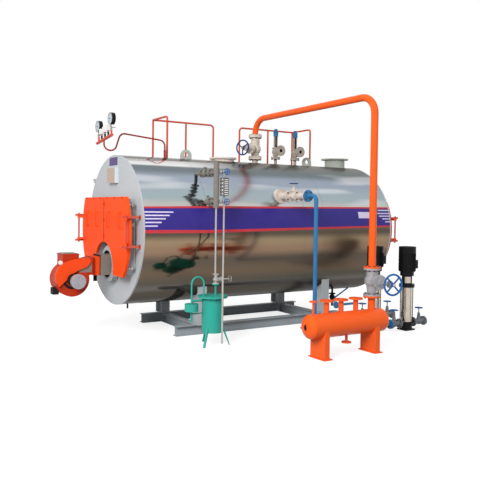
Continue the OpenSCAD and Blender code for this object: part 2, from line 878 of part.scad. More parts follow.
// Each arm of the column has a shut-off body and a pair of flanges
module water_column() {
    color([0.62, 0.62, 0.60]) from_plate() {
        translate([column_x, -column_y, column_low])
            cylinder(h = column_z2 - column_low + 135, r = column_r);
        on_shell() for (z = [column_z1, column_z2])
            rod([column_x, -clad_y(z) + 30, z], [column_x, -column_y, z], 22);
        for (a = [[column_z1, shell_r - 13], [column_z2, shell_r - 93]]) {
            translate([column_x, -a[1], a[0]]) sphere(44);
            translate([column_x, -a[1], a[0]]) cylinder(h = 82, r = 12);
            translate([column_x, -a[1], a[0] + 66]) cylinder(h = 9, r = 26);
            for (y = [44, 62]) translate([column_x, -shell_r - y, a[0]]) rotate([90, 0, 0])
                cylinder(h = 16, r = 56);
        }
        for (y = [168, 38]) translate([column_x, -shell_r + y, column_z2]) rotate([90, 0, 0])
            cylinder(h = 16, r = 54);
    }
}

glass_x = column_x + 117;
glass_y = column_y - 5;
glass_z2 = column_z2 + 11;
glass_ball = 22;

module gauge_glass() {
    color([0.70, 0.70, 0.70]) from_plate() {
        translate([glass_x - 38, -glass_y - 50, column_z1 + 76])
            cube([76, 90, column_z2 - column_z1 - 140]);
        for (z = [column_z1, glass_z2]) {
            translate([column_x + column_r + seat, -glass_y, z]) rotate([0, 90, 0])
                cylinder(h = glass_x - column_x - column_r, r = 17);
            translate([glass_x - 50, -glass_y, z]) sphere(26);
            translate([glass_x, -glass_y, z]) sphere(glass_ball);
            translate([glass_x, -glass_y, z]) rotate([90, 0, 0]) cylinder(h = 70, r = 11);
            translate([glass_x, -glass_y - 70, z]) rotate([90, 0, 0])
                handwheel(42, 5, 9, 14, 0, 4);
        }
        translate([glass_x, -glass_y, column_z1]) cylinder(h = 90, r = 14);
        translate([glass_x, -glass_y, column_z2 - 70]) cylinder(h = 60, r = 14);
    }
}

pot_top = pot_z + pot_h;
pot_stub_x = column_x + 7;
pot_stub_y = column_y;
pot_flange_z = 756;
pot_valve_top = 884;

// Foot of the glass drain tube, which is bent forward round the pot's lid
tube_foot = [glass_x - 152, -glass_y - 250];

// The tube from the column stands on the pot's valve; the other ends over the floor
module drain_tubes() {
    color([0.80, 0.78, 0.74]) from_plate() {
        rod([column_x, -column_y, pot_valve_top - 4],
            [column_x, -column_y, column_low - seat], 12);
        pipe([[glass_x, -glass_y, column_z1 - glass_ball - seat], [glass_x, -glass_y, 1300],
            [tube_foot.x, tube_foot.y, 760], [tube_foot.x, tube_foot.y, 50]], 12, 80, 0.5);
        translate([pot_stub_x, -pot_stub_y, pot_flange_z]) {
            cylinder(h = 14, r = 42);
            cylinder(h = 128, r = 22);
            translate([0, 0, 114]) cylinder(h = 14, r = 42);
            translate([0, 0, 54]) sphere(36);
            translate([0, 0, 54]) rotate([0, 90, 0]) {
                cylinder(h = 90, r = 20);
                translate([0, 0, 62]) cylinder(h = 12, r = 34);
                cylinder(h = 212, r = 7);
                translate([0, 0, 206]) handwheel(45, 5, 10, 12, 0, 3);
            }
        }
    }
}

// Nozzle, check flanges, globe valve and stub in one line towards -Y
module feed_valve() {
    face = shell_r - 70;
    color([0.70, 0.66, 0.60]) from_plate() {
        on_shell() rod([feed_x, -clad_y(feed_z) + 30, feed_z], [feed_x, -face, feed_z], 100);
        translate([feed_x, -face + 5, feed_z]) rotate([90, 0, 0])
            cylinder(h = 170, r1 = 56, r2 = 36);
        for (y = [91, 290]) translate([feed_x, -shell_r - y, feed_z]) rotate([90, 0, 0])
            cylinder(h = 34, r = 78);
        translate([feed_x, -shell_r - 487, feed_z]) rotate([90, 0, 0])
            cylinder(h = feed_end_y - shell_r - 487, r = 78);
        rod([feed_x, -face - 150, feed_z], [feed_x, -shell_r - 300, feed_z], 34);
        rod([feed_x, -shell_r - 310, feed_z], [feed_x, -shell_r - 490, feed_z], 46);
        translate([feed_x, -feed_stem_y, feed_z]) {
            sphere(54);
            cylinder(h = 112, r = 24);
            translate([0, 0, 62]) cylinder(h = 14, r = 40);
            cylinder(h = 180, r = 7);
        }
    }
}

module feed_wheel() {
    color(navy) from_plate() translate([feed_x, -feed_stem_y, feed_wheel_z])
        handwheel(62, 6, 14, 14, 7 + stem_gap, 3);
}

// The feed line to the near pump, and the second line from the far pump
module feed_pipe() {
    y = -pump1_y;
    near_x = pump1_x - port_out_near;
    far_x = pump2_x - port_out_near;
    far_z = plinth_h + port_z;
    color(blue) from_plate() {
        translate([feed_x, -feed_end_y, feed_z]) rotate([90, 0, 0]) cylinder(h = 18, r = 78);
        pipe([[feed_x, -feed_end_y - 18, feed_z], [feed_x, y, feed_z], [feed_x, y, port_z],
            [near_x - 18, y, port_z]], feed_r, 66, 0.6);
        translate([near_x - 18, y, port_z]) rotate([0, 90, 0]) cylinder(h = 18, r = 66);
        translate([far_x - 18, -pump2_y, far_z]) rotate([0, 90, 0]) cylinder(h = 18, r = 66);
        pipe([[far_x - 18, -pump2_y, far_z], [far_x - 62, -pump2_y, far_z],
            [far_x - 62, -pump2_y, feed_line_z], [far_x - 430, -pump2_y, feed_line_z]],
            17, 40, 0.6);
        translate([far_x - 442, -pump2_y, feed_line_z]) rotate([0, 90, 0])
            cylinder(h = 18, r = 50);
    }
}

// Place, plinth height and height of the two pumps
pump_list = [[pump1_x, -pump1_y, 0, pump1_h, 355], [pump2_x, -pump2_y, plinth_h, pump2_h, 300]];

module pumps() {
    color([0.74, 0.72, 0.68]) from_plate() for (p = pump_list) translate([p.x, p.y, p[2]]) {
        neck = p[3] - p[4] - 60;
        ring = neck - 115;
        if (p[2] > 0) translate([-110, -100, -p[2]]) cube([220, 200, p[2] + 1]);
        translate([-92, -84, 0]) cube([184, 168, 20]);
        translate([0, 0, 20]) cylinder(h = 102, r = 84);
        translate([0, 0, 122]) cylinder(h = ring - 118, r = sleeve_r);
        translate([0, 0, ring - 48]) cylinder(h = 48, r = 108);
        translate([0, 0, ring]) cylinder(h = 115, r = 72);
        for (a = [15 : 90 : 285]) rotate([0, 0, a]) translate([96, 0, 100])
            cylinder(h = ring - 120, r = 6);
        translate([0, 0, 90]) cylinder(h = 22, r = 104);
        rotate([0, 90, 0]) translate([-port_z, 0, -130]) cylinder(h = 260, r = 38);
    }
}

module pump_motors() {
    color(black) from_plate() for (p = pump_list) translate([p.x, p.y, p[2] + p[3] - p[4]]) {
        translate([0, 0, -60]) cylinder(h = 62, r = 96);
        cylinder(h = p[4] - 90, r = motor_r - 6);
        translate([0, 0, p[4] - 92]) cylinder(h = 92, r = motor_r);
        translate([motor_r - 20, -55, 40]) cube([62, 110, 120]);
    }
}

// Outer face and stem of a pump valve on the side s
function port_out(s) = s > 0 ? port_out_far : port_out_near;
function stem_out(s) = s > 0 ? stem_far : stem_near;

// The four pump valves, along X, with their stems up
module pump_valves() {
    color([0.62, 0.63, 0.65]) from_plate() for (p = pump_list) for (s = [-1, 1]) {
        stem = stem_out(s) - 130;
        l = port_out(s) - 130;
        translate([p.x + s * 130, p.y, p[2] + port_z]) rotate([0, s * 90, 0]) {
            cylinder(h = 18, r = 66);
            translate([0, 0, 17]) cylinder(h = l - 34, r = 34);
            if (s > 0) translate([0, 0, l - 18]) flange(66, 18, 20, 100, 4, 7);
            else translate([0, 0, l - 18]) cylinder(h = 18, r = 66);
            translate([0, 0, stem]) sphere(48);
            translate([0, 0, stem]) rotate([0, -s * 90, 0]) {
                cylinder(h = 122, r1 = 34, r2 = 18);
                cylinder(h = pump_stem + 10, r = 7);
            }
        }
    }
}

module pump_wheel(p, s) {
    color(blue) from_plate()
        translate([p.x + s * stem_out(s), p.y, p[2] + port_z + pump_stem])
            handwheel(60, 6, 13, 14, 7 + stem_gap, 3);
}

module pump_wheel_near_in() {
    pump_wheel(pump_list[0], 1);
}

module pump_wheel_near_out() {
    pump_wheel(pump_list[0], -1);
}

module pump_wheel_far_in() {
    pump_wheel(pump_list[1], 1);
}

module pump_wheel_far_out() {
    pump_wheel(pump_list[1], -1);
}

module blowdown_valve() {
    color(black) from_plate() {
        on_shell() rod([lever_x, -lever_y, clad_z(lever_y) + 30], [lever_x, -lever_y, 180], 17);
        translate([lever_x, -lever_y, lever_z]) sphere(46);
        for (z = [-64, 48]) translate([lever_x, -lever_y, lever_z + z]) cylinder(h = 16, r = 52);
        rod([lever_x, -lever_y, lever_z], [lever_x, -lever_y - 72, lever_z], 7);
        on_shell() rod([165, -100, clad_z(100) + 20], [165, -100, 340], 12);
    }
}

module blowdown_lever() {
    color(blue) from_plate() translate([lever_x, -lever_y - 58, lever_z])
        rotate([0, -lever_tilt, 0]) rotate([90, 0, 0]) difference() {
            union() {
                cylinder(h = 10, r = 18);
                translate([0, -11, 0]) cube([lever_l, 22, 8]);
            }
            translate([0, 0, -5]) cylinder(h = 20, r = 7 + stem_gap);
        }
}

module condensate_pot() {
    color(teal) from_plate() translate([pot_x, -pot_y, 0]) {
        translate([0, 0, pot_z]) cylinder(h = pot_h, r = pot_r);
        translate([0, 0, pot_top]) cylinder(h = 22, r = 187);
        for (a = [93 : 120 : 333]) rotate([0, 0, a]) {
            rotate([90, 0, 0]) translate([0, 0, -14]) linear_extrude(28)
                polygon([[pot_r - 6, pot_z + 60], [pot_r + 6, pot_z + 60],
                    [pot_r + 86, 0], [pot_r + 74, 0], [pot_r - 6, pot_z + 20]]);
        }
    }
}

// Gooseneck, drain cup with its pipe and bracket, and the stub under the valve
module pot_fittings() {
    top = pot_top + 22;
    cup_x = pot_x - 297;
    color(teal) from_plate() {
        pipe([[pot_x - 127, -pot_y, top], [pot_x - 127, -pot_y, 855],
            [cup_x, -pot_y, 855], [cup_x, -pot_y, 480]], 11, 84);
        rod([pot_stub_x, -pot_stub_y, top], [pot_stub_x, -pot_stub_y, 744], 12);
        translate([pot_stub_x, -pot_stub_y, 742]) cylinder(h = pot_flange_z - 742, r = 46);
        rod([cup_x, -pot_y, 566], [pot_x - pot_r - seat, -pot_y, 566], 14);
        translate([cup_x, -pot_y, 440]) cylinder(h = 92, r = 84);
        rod([cup_x, -pot_y, 310], [cup_x, -pot_y, 450], 14);
        translate([cup_x, -pot_y - 15, 402]) cube([pot_x - pot_r - cup_x - seat, 30, 12]);
    }
}

shell();
front_plate();
rear_plate();
front_smokebox();
rear_smokebox();
tube_plate();
front_davits();
rear_davits();
rails();
cross_beams();
saddles();
burner_duct();
burner_fan();
burner_cover();
burner_motor();
instrument_box();
gauge_pipe();
gauges();
front_handrail();
rear_handrail();
manway();
lifting_lugs();
main_steam_valve();
steam_pipe();
header_valve();
steam_header();
header_nozzles();
header_legs();
safety_valves();
flue_outlet();
water_column();
gauge_glass();
drain_tubes();
feed_valve();
feed_pipe();
condensate_pot();
pot_fittings();
pumps();
pump_motors();
pump_valves();
blowdown_valve();
front_door_near();
front_door_far();
rear_door_near();
rear_door_far();
main_wheel();
header_wheel();
feed_wheel();
blowdown_lever();
pump_wheel_near_in();
pump_wheel_near_out();
pump_wheel_far_in();
pump_wheel_far_out();
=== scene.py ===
"""Paint, cladding, fasteners, dials and studio for a fire-tube steam boiler.

Places are written as they would be measured on the boiler: x in metres from the front
plate, y from the middle of the boiler, z from the floor. The helper at() turns them into
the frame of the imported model, whose origin lies under the front cross beam.
"""

import math

import bpy
from bpy.props import FloatProperty, FloatVectorProperty, IntProperty, PointerProperty
from mathutils import Matrix, Vector


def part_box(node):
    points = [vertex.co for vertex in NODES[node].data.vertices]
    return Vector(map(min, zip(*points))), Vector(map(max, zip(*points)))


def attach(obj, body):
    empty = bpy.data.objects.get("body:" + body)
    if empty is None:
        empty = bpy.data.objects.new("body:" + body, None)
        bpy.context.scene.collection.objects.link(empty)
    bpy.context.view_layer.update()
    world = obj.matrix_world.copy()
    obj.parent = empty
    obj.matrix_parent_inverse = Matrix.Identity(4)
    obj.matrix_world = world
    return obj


bl_info = {
    "name": "Steam boiler dressing",
    "version": (1, 0, 0),
    "blender": (4, 5, 0),
    "location": "View3D > Sidebar > Boiler",
    "description": "Finishes, small fittings and studio for a fire-tube steam boiler",
    "category": "Object",
}

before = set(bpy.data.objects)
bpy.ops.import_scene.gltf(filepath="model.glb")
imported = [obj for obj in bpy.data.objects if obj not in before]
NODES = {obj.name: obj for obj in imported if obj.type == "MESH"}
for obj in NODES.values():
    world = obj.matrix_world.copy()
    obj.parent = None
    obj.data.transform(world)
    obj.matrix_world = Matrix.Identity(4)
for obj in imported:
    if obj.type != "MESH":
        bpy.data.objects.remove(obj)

# Main measures of the modelled boiler, in metres
BEAM_BACK = 1.0
SHELL_R = 1.0
AXIS_Z = 1.395
SHELL_LOW, SHELL_TOP = AXIS_Z - SHELL_R, AXIS_Z + SHELL_R
DOOR_FACE = -0.140
PUMPS = {"near": (3.768, -1.680, 0.0), "far": (3.580, -1.240, 0.046)}
MOTOR_FOOT = {"near": 0.835, "far": 0.871}
MOTOR_TOP = {"near": 1.190, "far": 1.171}
LANTERN = {"near": (0.660, 0.775), "far": (0.696, 0.811)}
GAUGE_BAR = (-0.146, -0.017, 2.597)
BAR_TILT = math.radians(6.7)
GLASS = (1.005, -1.195)
MAIN_VALVE = (2.253, 0.0)
HEADER_VALVE = (2.350, -2.445)
SAFETY_X = (2.635, 3.010)
UP, NEAR, FRONT = (0, 0, 1), (0, -1, 0), (-1, 0, 0)

# Edges sharper than this many degrees stay crisp
FITTING_EDGE, PART_EDGE = 38.0, 32.0
WHITE = (1, 1, 1, 1)


# Measuring and colour


def at(x, y, z):
    """A point measured from the front plate, in the frame of the model."""
    return Vector((x - BEAM_BACK, y, z))


def srgb(r, g, b):
    """A linear colour from screen values of 0 to 255."""
    out = []
    for c in (r, g, b):
        c /= 255.0
        out.append(c / 12.92 if c <= 0.04045 else ((c + 0.055) / 1.055) ** 2.4)
    return tuple(out)


def between(x, marks):
    """The value at x on a line of (x, value) marks."""
    for (x0, v0), (x1, v1) in zip(marks, marks[1:]):
        if x <= x1:
            break
    share = min(max((x - x0) / (x1 - x0), 0.0), 1.0)
    return v0 + (v1 - v0) * share


def on_bar(along, height, out=0.0):
    """A point given along the tilted gauge bar and over its axis."""
    turn = Matrix.Rotation(-BAR_TILT, 3, "X")
    return at(*GAUGE_BAR) + turn @ Vector((out, along, height))


def over_bar(y, z):
    """Height over the axis of the tilted gauge bar."""
    return (y - GAUGE_BAR[1]) * math.sin(BAR_TILT) + (z - GAUGE_BAR[2]) * math.cos(BAR_TILT)


def axes_along(direction):
    """A turn whose Z runs along direction."""
    z = Vector(direction).normalized()
    x = Vector(UP).cross(z)
    if x.length < 1e-6:
        x = Vector((1, 0, 0))
    x.normalize()
    y = z.cross(x)
    return Matrix((x, y, z)).transposed()


class Shape:
    """Vertices and faces of one piece. Each form is added to it and gives the shape back."""

    def __init__(self):
        self.verts = []
        self.faces = []

    def add(self, verts, faces):
        """Any mesh; faces count from its own first vertex."""
        base = len(self.verts)
        self.verts.extend(tuple(v) for v in verts)
        self.faces.extend([base + i for i in face] for face in faces)
        return self

    def box(self, low, high):
        """A block between two corners."""
        (x0, y0, z0), (x1, y1, z1) = low, high
        verts = [(x, y, z) for z in (z0, z1) for y in (y0, y1) for x in (x0, x1)]
        faces = [(0, 2, 3, 1), (4, 5, 7, 6), (0, 1, 5, 4), (2, 6, 7, 3), (0, 4, 6, 2), (1, 3, 7, 5)]
        return self.add(verts, faces)

    def block(self, corners):
        """A block between two corners measured on the boiler."""
        return self.box(*(at(*corner) for corner in corners))

    def turned(self, profile, origin, direction, sides=32, start=0.0):
        """A lathe form: profile is a list of (radius, distance along direction)."""
        turn = axes_along(direction)
        origin = Vector(origin)
        verts, rows = [], []
        for radius, along in profile:
            row = []
            count = 1 if radius < 1e-7 else sides
            for i in range(count):
                a = start + 2 * math.pi * i / sides
                row.append(len(verts))
                spot = Vector((radius * math.cos(a), radius * math.sin(a), along))
                verts.append(origin + turn @ spot)
            rows.append(row)
        faces = []
        for low, high in zip(rows, rows[1:]):
            for i in range(sides):
                j = (i + 1) % sides
                if len(low) == 1:
                    faces.append((low[0], high[j], high[i]))
                elif len(high) == 1:
                    faces.append((low[i], low[j], high[0]))
                else:
                    faces.append((low[i], low[j], high[j], high[i]))
        return self.add(verts, faces)

    def rod(self, start, end, radius, sides=16):
        """A straight round bar."""
        start, end = Vector(start), Vector(end)
        length = (end - start).length
        profile = [(0, 0), (radius, 0), (radius, length), (0, length)]
        return self.turned(profile, start, end - start, sides)

    def tube(self, points, radius, sides=12):
        """A round bar that follows points."""
        verts, faces, last = [], [], None
        end = len(points) - 1
        for i, point in enumerate(points):
            ahead = (points[min(i + 1, end)] - points[max(i - 1, 0)]).normalized()
            if last is None:
                side = ahead.orthogonal().normalized()
            else:
                side = (last - ahead * last.dot(ahead)).normalized()
            last = side
            other = ahead.cross(side)
            for k in range(sides):
                a = 2 * math.pi * k / sides
                verts.append(point + radius * (math.cos(a) * side + math.sin(a) * other))
        for i in range(end):
            low, high = i * sides, (i + 1) * sides
            for k in range(sides):
                j = (k + 1) % sides
                faces.append((low + k, low + j, high + j, high + k))
        faces.append(list(range(sides))[::-1])
        faces.append([end * sides + k for k in range(sides)])
        return self.add(verts, faces)

    def bolt(self, seat, direction, size, height=None, turn=0.0):
        """A hexagon head with a domed point; size is across the corners."""
        height = height or size * 0.35
        r = size / 2
        profile = [(0, 0), (r, 0), (r, height * 0.82), (r * 0.86, height), (0, height)]
        return self.turned(profile, seat, direction, 6, turn)

    def bolt_circle(self, centre, direction, pcd, count, size, grip=0.0):
        """Bolt heads round a flange, and nuts on its other side where grip is its thickness."""
        turn = axes_along(direction)
        axis = Vector(direction).normalized()
        for i in range(count):
            a = (i + 0.5) * 2 * math.pi / count
            seat = Vector(centre) + turn @ Vector((pcd / 2 * math.cos(a), pcd / 2 * math.sin(a), 0))
            self.bolt(seat, axis, size, turn=a)
            if grip:
                self.bolt(seat - axis * grip, -axis, size, turn=a + 0.3)
                self.rod(seat - axis * (grip + size * 0.55), seat - axis * grip, size * 0.27, 8)
        return self


def new_object(name, data):
    """An object of that data in the scene."""
    obj = bpy.data.objects.new(name, data)
    bpy.context.scene.collection.objects.link(obj)
    return obj


def shade_round(mesh, edge):
    """Smooth shading that stops at sharp edges."""
    mesh.polygons.foreach_set("use_smooth", [True] * len(mesh.polygons))
    mesh.set_sharp_from_angle(angle=math.radians(edge))


def piece(name, shape, coat, body="boiler"):
    """Makes the object, gives it its finish and fixes it to the body that carries it."""
    mesh = bpy.data.meshes.new(name)
    mesh.from_pydata([tuple(v) for v in shape.verts], [], shape.faces)
    mesh.validate()
    mesh.update()
    shade_round(mesh, FITTING_EDGE)
    mesh.materials.append(finish(coat))
    obj = new_object(name, mesh)
    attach(obj, body)


# Finishes


class Net:
    """The nodes of one shader tree, with short ways to add and join them."""

    def __init__(self, tree):
        self.nodes = tree.nodes
        self.links = tree.links

    def join(self, socket, value):
        """Links an output to the socket, or sets the socket to a number or colour."""
        if isinstance(value, bpy.types.NodeSocket):
            self.links.new(value, socket)
        else:
            socket.default_value = value

    def fill(self, node, **values):
        """Joins a node's inputs by name; an underscore stands for a space."""
        for key, value in values.items():
            self.join(node.inputs[key.replace("_", " ")], value)
        return node

    def add(self, kind, **values):
        """A new node with its inputs filled."""
        return self.fill(self.nodes.new("ShaderNode" + kind), **values)

    def object_place(self):
        """The place on the object as a vector."""
        return self.add("TexCoord").outputs["Object"]

    def maths(self, operation, *values):
        """The result of one sum."""
        node = self.add("Math")
        node.operation = operation
        for socket, value in zip(node.inputs, values):
            self.join(socket, value)
        return node.outputs[0]

    def span(self, value, low, high, out_low=0.0, out_high=1.0, smooth=False):
        """Spreads low to high over out_low to out_high, and holds the ends beyond them."""
        node = self.add("MapRange")
        if smooth:
            node.interpolation_type = "SMOOTHSTEP"
        self.fill(node, Value=value, From_Min=low, From_Max=high, To_Min=out_low, To_Max=out_high)
        return node.outputs[0]

    def blend(self, share, under, over):
        """The colour under with a share of the colour over."""
        node = self.add("Mix")
        node.data_type = "RGBA"
        self.fill(node, Factor=share)
        self.join(node.inputs[6], under)
        self.join(node.inputs[7], over)
        return node.outputs[2]

    def both(self, kind, first, second, **values):
        """A node that puts two shaders together."""
        node = self.add(kind, **values)
        self.join(node.inputs[-2], first.outputs[0])
        self.join(node.inputs[-1], second.outputs[0])
        return node.outputs[0]

    def relief(self, skin, height, strength, distance):
        """A low relief on the shader's normal."""
        bump = self.add("Bump", Height=height, Strength=strength, Distance=distance)
        self.fill(skin, Normal=bump.outputs["Normal"])


def new_group(name, inputs, outputs):
    """A shader node group with named sockets, or the one that exists."""
    group = bpy.data.node_groups.get(name)
    if group:
        return group, None, None
    group = bpy.data.node_groups.new(name, "ShaderNodeTree")
    for label, value in inputs.items():
        kind = "NodeSocketColor" if isinstance(value, tuple) else "NodeSocketFloat"
        socket = group.interface.new_socket(label, in_out="INPUT", socket_type=kind)
        socket.default_value = value
    for label in outputs:
        kind = "NodeSocketColor" if label == "Color" else "NodeSocketFloat"
        group.interface.new_socket(label, in_out="OUTPUT", socket_type=kind)
    return group, group.nodes.new("NodeGroupInput"), group.nodes.new("NodeGroupOutput")


def shop_wear():
    """Uneven paint and a little dust: a colour, a roughness and a low relief."""
    paint, dust = (0.5, 0.5, 0.5, 1), (0.35, 0.32, 0.28, 1)
    group, given, out = new_group(
        "Shop wear",
        {"Paint": paint, "Dust": dust, "Amount": 0.2, "Patch size": 6.0, "Gloss": 0.35},
        ("Color", "Roughness", "Height"),
    )
    if given is None:
        return group
    net, given = Net(group), given.outputs
    patches = net.add("TexNoise", Vector=net.object_place(), Scale=given["Patch size"],
                      Detail=5, Roughness=0.6).outputs["Fac"]
    share = net.maths("MULTIPLY", net.span(patches, 0.35, 0.75), given["Amount"])
    rough = net.maths("MULTIPLY_ADD", share, 0.5, given["Gloss"])
    tone = net.blend(share, given["Paint"], given["Dust"])
    net.fill(out, Color=tone, Roughness=rough, Height=patches)
    return group


def finish_of(name):
    """A new material, its nodes and its Principled shader."""
    material = bpy.data.materials.new(name)
    material.use_nodes = True
    net = Net(material.node_tree)
    return material, net, net.nodes["Principled BSDF"]


def enamel(name, colour, gloss, wear, patch=7.0, dust=(0.30, 0.27, 0.23), relief=0.06,
           metallic=0.0, coat=0.0, shine=0.2):
    """Painted steel or cast iron; gloss is the roughness of clean paint, wear the share of dust."""
    material, net, skin = finish_of(name)
    wearing = net.add("Group")
    wearing.node_tree = shop_wear()
    net.fill(wearing, Paint=(*colour, 1), Dust=(*dust, 1), Amount=wear, Patch_size=patch, Gloss=gloss)
    worn = wearing.outputs
    net.fill(skin, Base_Color=worn["Color"], Roughness=worn["Roughness"], Metallic=metallic,
             Coat_Weight=coat, Coat_Roughness=0.15, Specular_IOR_Level=shine)
    net.relief(skin, worn["Height"], relief, 0.004)
    return material


# Soft stripes of the polished sheet, as heights with tones that were chosen: painted
# reflections of the floor and the skid below, and of walls and daylight above
CLADDING_PAINTED_REFLECTIONS = [
    (0.41, (55, 50, 45)),
    (0.60, (85, 80, 70)),
    (0.66, (105, 100, 95)),
    (0.74, (90, 85, 75)),
    (0.86, (105, 90, 75)),
    (1.03, (95, 85, 75)),
    (1.16, (140, 115, 95)),
    (1.27, (145, 125, 100)),
    (1.38, (90, 80, 70)),
    (1.72, (195, 190, 185)),
    (1.84, (165, 180, 185)),
    (2.10, (160, 170, 185)),
    (2.19, (125, 135, 140)),
    (2.34, (150, 150, 145)),
]
# Painted reflection at the lowest and the highest point of the sheet
SHEET_END_REFLECTIONS = (srgb(70, 62, 54), srgb(150, 140, 130))
# Painted reflection of a pale cloud
SHEET_CLOUD_REFLECTION = srgb(236, 238, 240)

# Where the painted highlight, a bright streak, rises and falls over the height, and fades along the sheet
GLINT_RISE, GLINT_FALL = (2.235, 2.265), (2.345, 2.320)
GLINT_FADE = (1.9 - BEAM_BACK, 0.7 - BEAM_BACK)

# Lap seams along the sheet, and the part of it that grows duller to the rear
SEAMS = (2.475, 2.825, 0.90)
SEAM_HALF = 0.0035
DULLING = (1.0 - BEAM_BACK, 3.0 - BEAM_BACK)


def glint_mask(net, along, height):
    """A painted highlight: a long bright streak under the top of the sheet that fades out towards the
    rear.
    """
    rise = net.span(height, *GLINT_RISE, smooth=True)
    fall = net.span(height, *GLINT_FALL, smooth=True)
    rear = net.span(along, *GLINT_FADE, smooth=True)
    return net.maths("MULTIPLY", net.maths("MULTIPLY", rise, fall), rear)


def cladding_painted_reflection():
    """Painted reflections and a painted highlight on the polished sheet by its height, drawn out in long
    soft streaks.
    """
    group, given, out = new_group(
        "Polished sheet tone", {"Waviness": 0.02, "Cloud": 0.5}, ("Color", "Height"))
    if given is None:
        return group
    net, given = Net(group), given.outputs
    place = net.object_place()
    parts = net.add("SeparateXYZ", Vector=place).outputs
    drawn = net.add("Mapping", Vector=place, Scale=(0.55, 1.6, 5.0)).outputs[0]
    streaks = net.add("TexNoise", Vector=drawn, Scale=1.7, Detail=3).outputs["Fac"]
    wave = net.maths("SUBTRACT", streaks, 0.5)
    height = net.maths("MULTIPLY_ADD", wave, given["Waviness"], parts["Z"])
    stripes = net.add("ValToRGB", Fac=net.span(height, SHELL_LOW, SHELL_TOP))
    stripes.color_ramp.interpolation = "EASE"
    marks = stripes.color_ramp.elements
    # Painted reflections laid into the sheet's colour, stripe by stripe
    for mark, tone in zip(marks, SHEET_END_REFLECTIONS):
        mark.color = (*tone, 1)
    for level, tone in CLADDING_PAINTED_REFLECTIONS:
        mark = marks.new((level - SHELL_LOW) / (2 * SHELL_R))
        mark.color = (*srgb(*tone), 1)
    # Painted reflection of a pale cloud in the upper half
    cloud = net.add("TexNoise", Vector=drawn, Scale=0.9, Detail=1.5).outputs["Fac"]
    pale = net.maths("MULTIPLY", net.span(cloud, 0.52, 0.62), net.span(parts["Z"], 1.70, 1.85))
    share = net.maths("MULTIPLY", pale, given["Cloud"])
    clouded = net.blend(share, stripes.outputs["Color"], (*SHEET_CLOUD_REFLECTION, 1))
    # Painted highlight: the white streak near the top of the sheet
    colour = net.blend(glint_mask(net, parts["X"], height), clouded, WHITE)
    net.fill(out, Color=colour, Height=streaks)
    return group


def polished_cladding():
    """Mirror-like stainless sheet with lap seams, and painted reflections in its colour."""
    material, net, skin = finish_of("polished stainless cladding")
    tone = net.add("Group")
    tone.node_tree = cladding_painted_reflection()
    along = net.add("SeparateXYZ", Vector=net.object_place()).outputs["X"]
    colour = tone.outputs["Color"]
    for seam in SEAMS:
        gap = net.maths("COMPARE", along, seam - BEAM_BACK, SEAM_HALF)
        colour = net.blend(net.maths("MULTIPLY", gap, 0.35), colour, (0.10, 0.09, 0.08, 1))
    net.fill(skin, Base_Color=colour, Metallic=1.0, Roughness=net.span(along, *DULLING, 0.12, 0.34),
             Specular_Tint=(0.55, 0.55, 0.55, 1))
    net.relief(skin, tone.outputs["Height"], 0.25, 0.01)
    return material


# Unpainted metal, and the dust on several finishes
BARE = dict(patch=14.0, dust=(0.10, 0.09, 0.08), relief=0.03, metallic=1.0, shine=0.5)
GRIME = (0.10, 0.085, 0.07)

